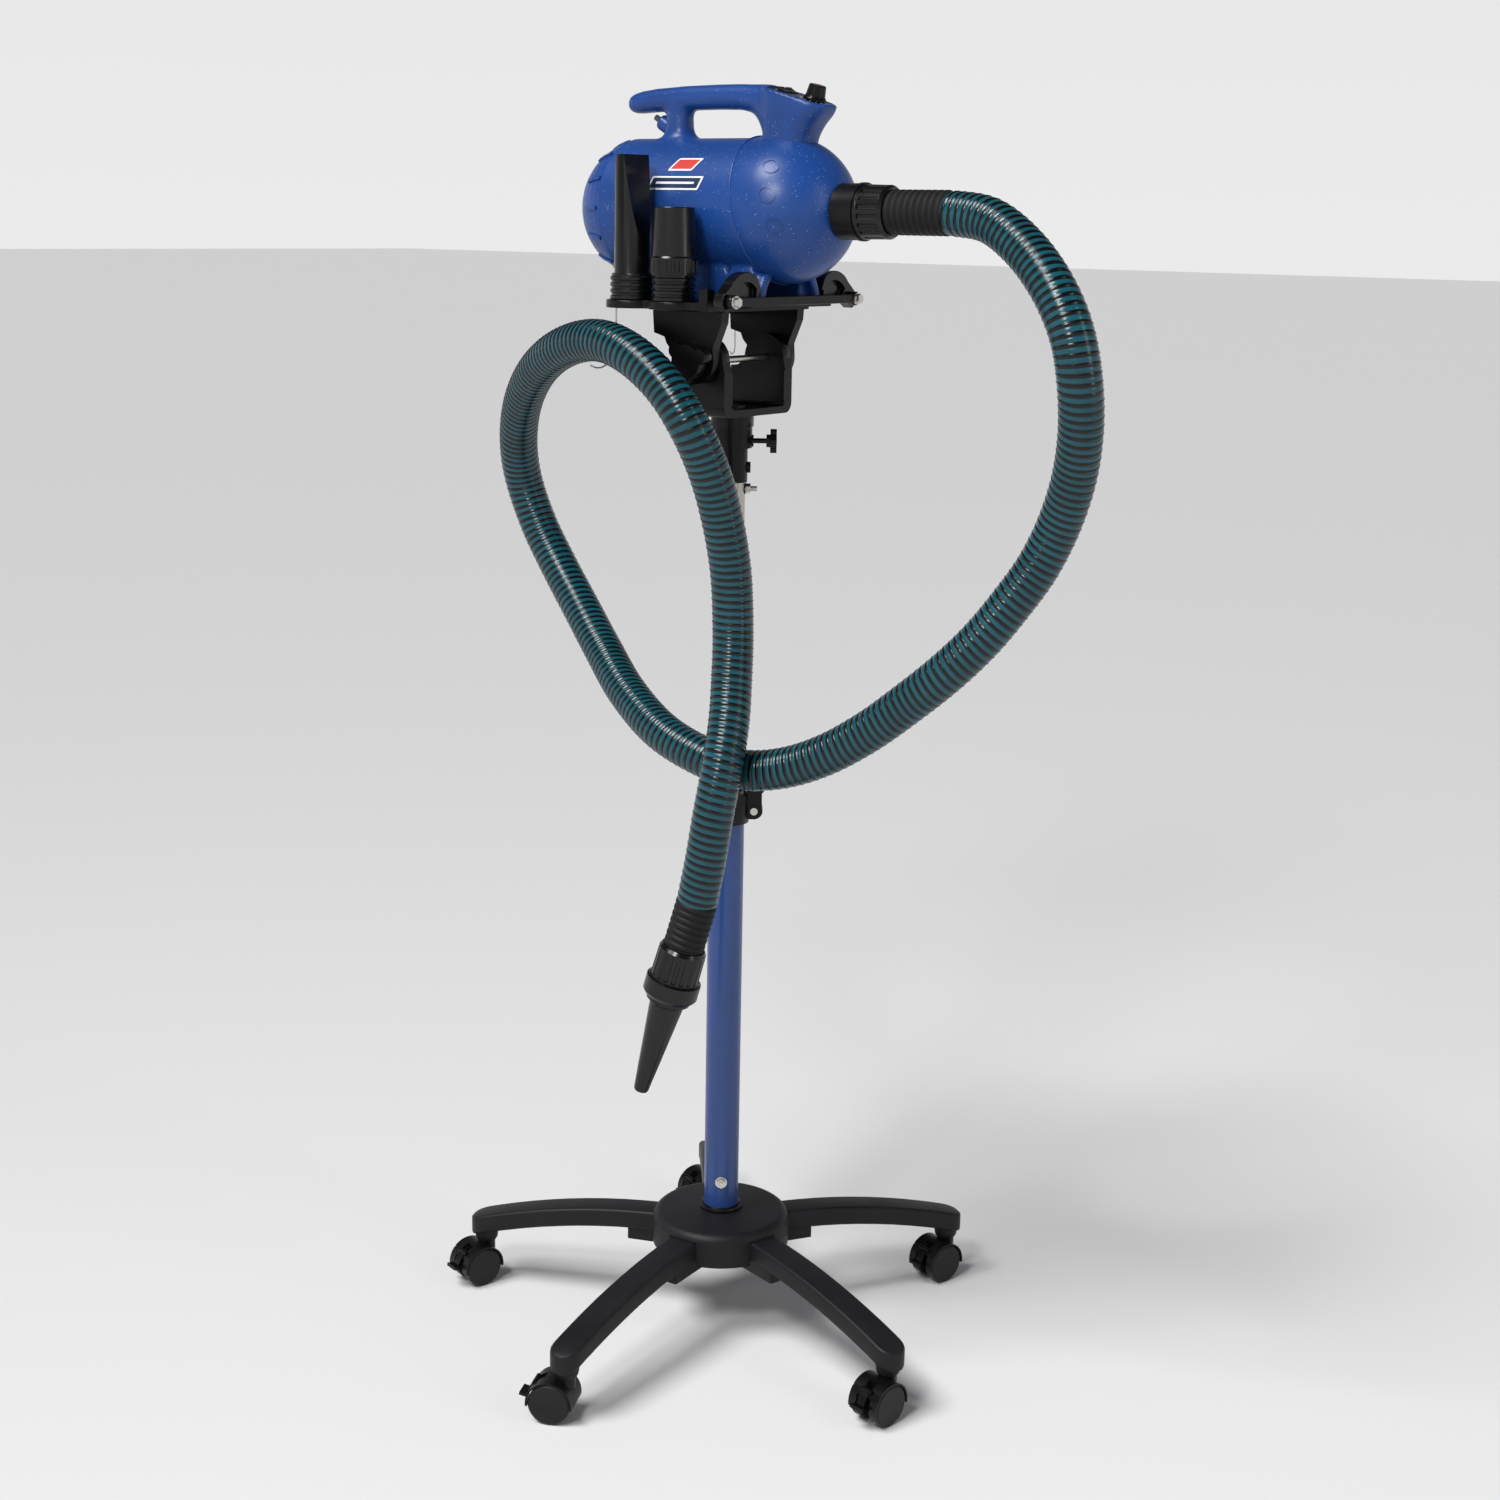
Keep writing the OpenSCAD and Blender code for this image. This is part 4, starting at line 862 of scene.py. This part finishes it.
def ink_bar(name, length, width, place):
    """A printed bar with the thickness of its ink."""
    deselect()
    bpy.ops.mesh.primitive_plane_add(size=1)
    bar = begin(name)
    bpy.ops.transform.resize(value=(length, width, 1))
    bpy.ops.mesh.extrude_region_move(TRANSFORM_OT_translate={"value": (0, 0, 0.00015)})
    bpy.ops.object.mode_set(mode="OBJECT")
    bar.data.transform(place)
    return bar


ticks = [ink_bar(f"tick_{k}", 0.0024 if k % 5 else 0.0036, 0.0007,
                 knob_place @ Matrix.Rotation(math.radians(120 + 24 * k), 4, "Z")
                 @ Matrix.Translation((0.0160, 0, 0))) for k in range(11)]
ticks += [ink_bar(f"dash_{hand}", 0.0008, 0.0040,
                  Matrix.Translation((0.0125, hand * window_y, plate_top))) for hand in (-1, 1)]
scale_print = on_panel(join("panel_print", ticks))
recalculate(scale_print)
settle(scale_print, white_ink)
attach(scale_print, "head")

deselect()
bpy.ops.mesh.primitive_cube_add(size=1)
pointer = begin("knob_pointer")
bpy.ops.transform.resize(value=(0.0075, 0.0016, 0.0012))
bpy.ops.mesh.bevel(offset=0.0003, segments=2, affect="EDGES")
bpy.ops.object.mode_set(mode="OBJECT")
pointer.data.transform(Matrix.Translation((knob_x, 0, 0)) @ Matrix.Rotation(2.0, 4, "Z")
                       @ Matrix.Translation((0.0042, 0, 0.0165)))
on_panel(pointer)
recalculate(pointer)
settle(pointer, red_film)
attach(pointer, "speed_knob")

# %% [markdown]
# ## The cord's strain relief
# A blue boss on the rear post holds a short grey rubber sleeve, whose bore the mains lead
# would pass through. The boss is turned: a cylinder with a rolled edge.

# %% Strain relief
gland_out = Vector((-math.sin(gland_lean), 0, math.cos(gland_lean)))
gland_base = Vector((-0.099, 0, 1.466))
boss = cylinder("cord_boss", gland_base + 0.0025 * gland_out, 0.0090, 0.0170, gland_turn, 40)
bpy.ops.object.mode_set(mode="EDIT")
pick(boss, lambda e: min((v.co - gland_base).dot(gland_out) for v in e.verts) > 0.0108, "EDGE")
bpy.ops.mesh.bevel(offset=0.0032, segments=5, affect="EDGES")
bpy.ops.object.mode_set(mode="OBJECT")
settle(boss, shell_blue)
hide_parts("cord_gland")
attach(boss, "head")
sleeve = cylinder("cord_sleeve", gland_base + 0.0130 * gland_out, 0.0034, 0.0140, gland_turn, 32)
bpy.ops.object.mode_set(mode="EDIT")
pick(sleeve, lambda f: f.normal.dot(gland_out) > 0.9)
bpy.ops.mesh.inset(thickness=0.0012)
bpy.ops.mesh.extrude_region_move(TRANSFORM_OT_translate={"value": -0.008 * gland_out})
settle(sleeve, sleeve_grey)
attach(sleeve, "head")

# %% [markdown]
# ## The far hook
# A thin wire hook hangs from the far edge of the deck, the twin of the one that holds the
# hose. A long thin rod is a curve's job: a cylinder would need a bend for every turn.

# %% Wire hook
wire = bpy.data.curves.new("far_hook", "CURVE")
wire.dimensions, wire.bevel_depth, wire.bevel_resolution = "3D", 0.0009, 3
hook_points = [(-0.062, 0.0865, 1.2660), (-0.062, 0.0866, 1.2500), (-0.062, 0.0864, 1.2300),
               (-0.062, 0.0866, 1.2140), (-0.062, 0.0850, 1.2075), (-0.063, 0.0810, 1.2050),
               (-0.064, 0.0785, 1.2085)]
spline = wire.splines.new("POLY")
spline.points.add(len(hook_points) - 1)
for point, co in zip(spline.points, hook_points):
    point.co = (*co, 1)
hook = bpy.data.objects.new("far_hook", wire)
bpy.context.scene.collection.objects.link(hook)
deselect()
hook.select_set(True)
bpy.context.view_layer.objects.active = hook
bpy.ops.object.convert(target="MESH")
hook = bpy.context.object
settle(hook, zinc_bolt)
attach(hook, "head")

# %% [markdown]
# ## The five arms
# Each arm is a polypropylene moulding that droops towards its caster. Its edges are
# well rounded and its tip is a half circle. One arm is lofted along its length, section by
# section, and turned round the post five times.

# %% Arms
arm_angles, hub_top, hub_r, droop = [-15, 57, 129, 201, 273], 0.132, 0.060, 0.58
star_r, arm_half, arm_deep = 0.319, 0.019, 0.025


def arm_top(r):
    """The height of an arm's upper face: level at the hub, then a parabola down."""
    return hub_top - droop * max(r - hub_r, 0) ** 2


arm_sections = []
for r in [0.062, 0.075, 0.090, 0.110, 0.135, 0.160, 0.185, 0.210, 0.235, 0.260, 0.285, 0.305,
          star_r]:
    arm_sections.append(((r, 0, arm_top(r) - arm_deep / 2), arm_deep / 2, arm_half))
for degrees in (20, 38, 54, 68, 80, 87):
    t = math.radians(degrees)
    r = star_r + arm_half * math.sin(t)
    arm_sections.append(((r, 0, arm_top(r) - arm_deep / 2),
                         arm_deep / 2 - 0.004 * (1 - math.cos(t)) ** 3, arm_half * math.cos(t)))
one_arm = loft("arm", arm_sections, corner=0.36, axis="X", steps=5)
lug = loft("lug", [((0.090, 0, 0.0900), 0.030, 0.015), ((0.090, 0, 0.1100), 0.030, 0.015)],
           corner=0.2)
socket = loft("socket", [((star_r, 0, z), r, r) for z, r in (
    (0.0545, 0.0120), (0.0575, 0.0140), (0.0640, 0.0152), (0.0700, 0.0158))])
one_arm = join("arm", [one_arm, lug, socket])
arms = join("star_arms", [copy_turned(one_arm, f"arm_{k}",
                                      Matrix.Rotation(math.radians(angle), 4, "Z"))
                          for k, angle in enumerate(arm_angles)])
bpy.data.objects.remove(one_arm)
settle(arms, black_grained, angle=30)
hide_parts("base_arms")
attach(arms, "base")
print("arm faces", len(arms.data.polygons))

# %% [markdown]
# ## CAD pieces that keep their shape
# Turned, drilled and flat pieces are already right. Each gets its finish, and a small
# rounded edge where a mould or a press would leave one, so that its rims catch the light.

# %% Finishes and edges for CAD pieces, each finish with the nodes that wear it
worn_by = {
    black_grained: ["base_hub"],
    black_satin: ["base_ring", "guide_bush", "height_collar", "height_knob", "mount_collar",
                  "yoke", "swivel_knob", "cradle", "front_bar", "nozzle_caddy", "tilt_knob",
                  "speed_knob", "outlet_ring"],
    black_gloss: ["clamp_cam_near", "clamp_cam_far", "rocker_near", "rocker_far", "hose_nut",
                  "tip_nut", "taper_nozzle", "flat_nozzle", "round_nozzle"],
    rubber_black: ["motor_mounts", "hose_cuff", "tip_cuff"],
    nylon_tread: [],
    shell_blue: ["rear_cover"],
    tube_blue: ["lower_tube"],
    nickel_tube: ["mast_tube"],
    zinc_bolt: ["tube_bolt", "clamp_bolt", "stop_bolt", "pivot_bolt", "cam_screws",
                "motor_screws", "hose_hanger"],
    cast_alloy: ["motor_case", "rotor"],
    foam_grey: ["air_filter"],
}
for k in range(1, 6):
    worn_by[black_satin] += [f"caster_{k}_housing", f"caster_{k}_brake"]
    worn_by[nylon_tread].append(f"caster_{k}_wheels")
for coat, names in worn_by.items():
    for name in names:
        nodes[name].data.materials.clear()
        nodes[name].data.materials.append(coat)

rim_widths = {"yoke": 0.0014, "cradle": 0.0014, "front_bar": 0.0012, "nozzle_caddy": 0.0012,
              "height_collar": 0.001, "tilt_knob": 0.0015, "clamp_cam_near": 0.001,
              "clamp_cam_far": 0.001, "flat_nozzle": 0.0006}
for name, width in rim_widths.items():
    weld = nodes[name].modifiers.new("weld", "WELD")
    weld.merge_threshold = 0.000005
    edge = nodes[name].modifiers.new("rim", "BEVEL")
    edge.width = width
    edge.segments = 2
    edge.limit_method = "ANGLE"
    edge.angle_limit = math.radians(38)
    edge.use_clamp_overlap = True
    edge.harden_normals = True
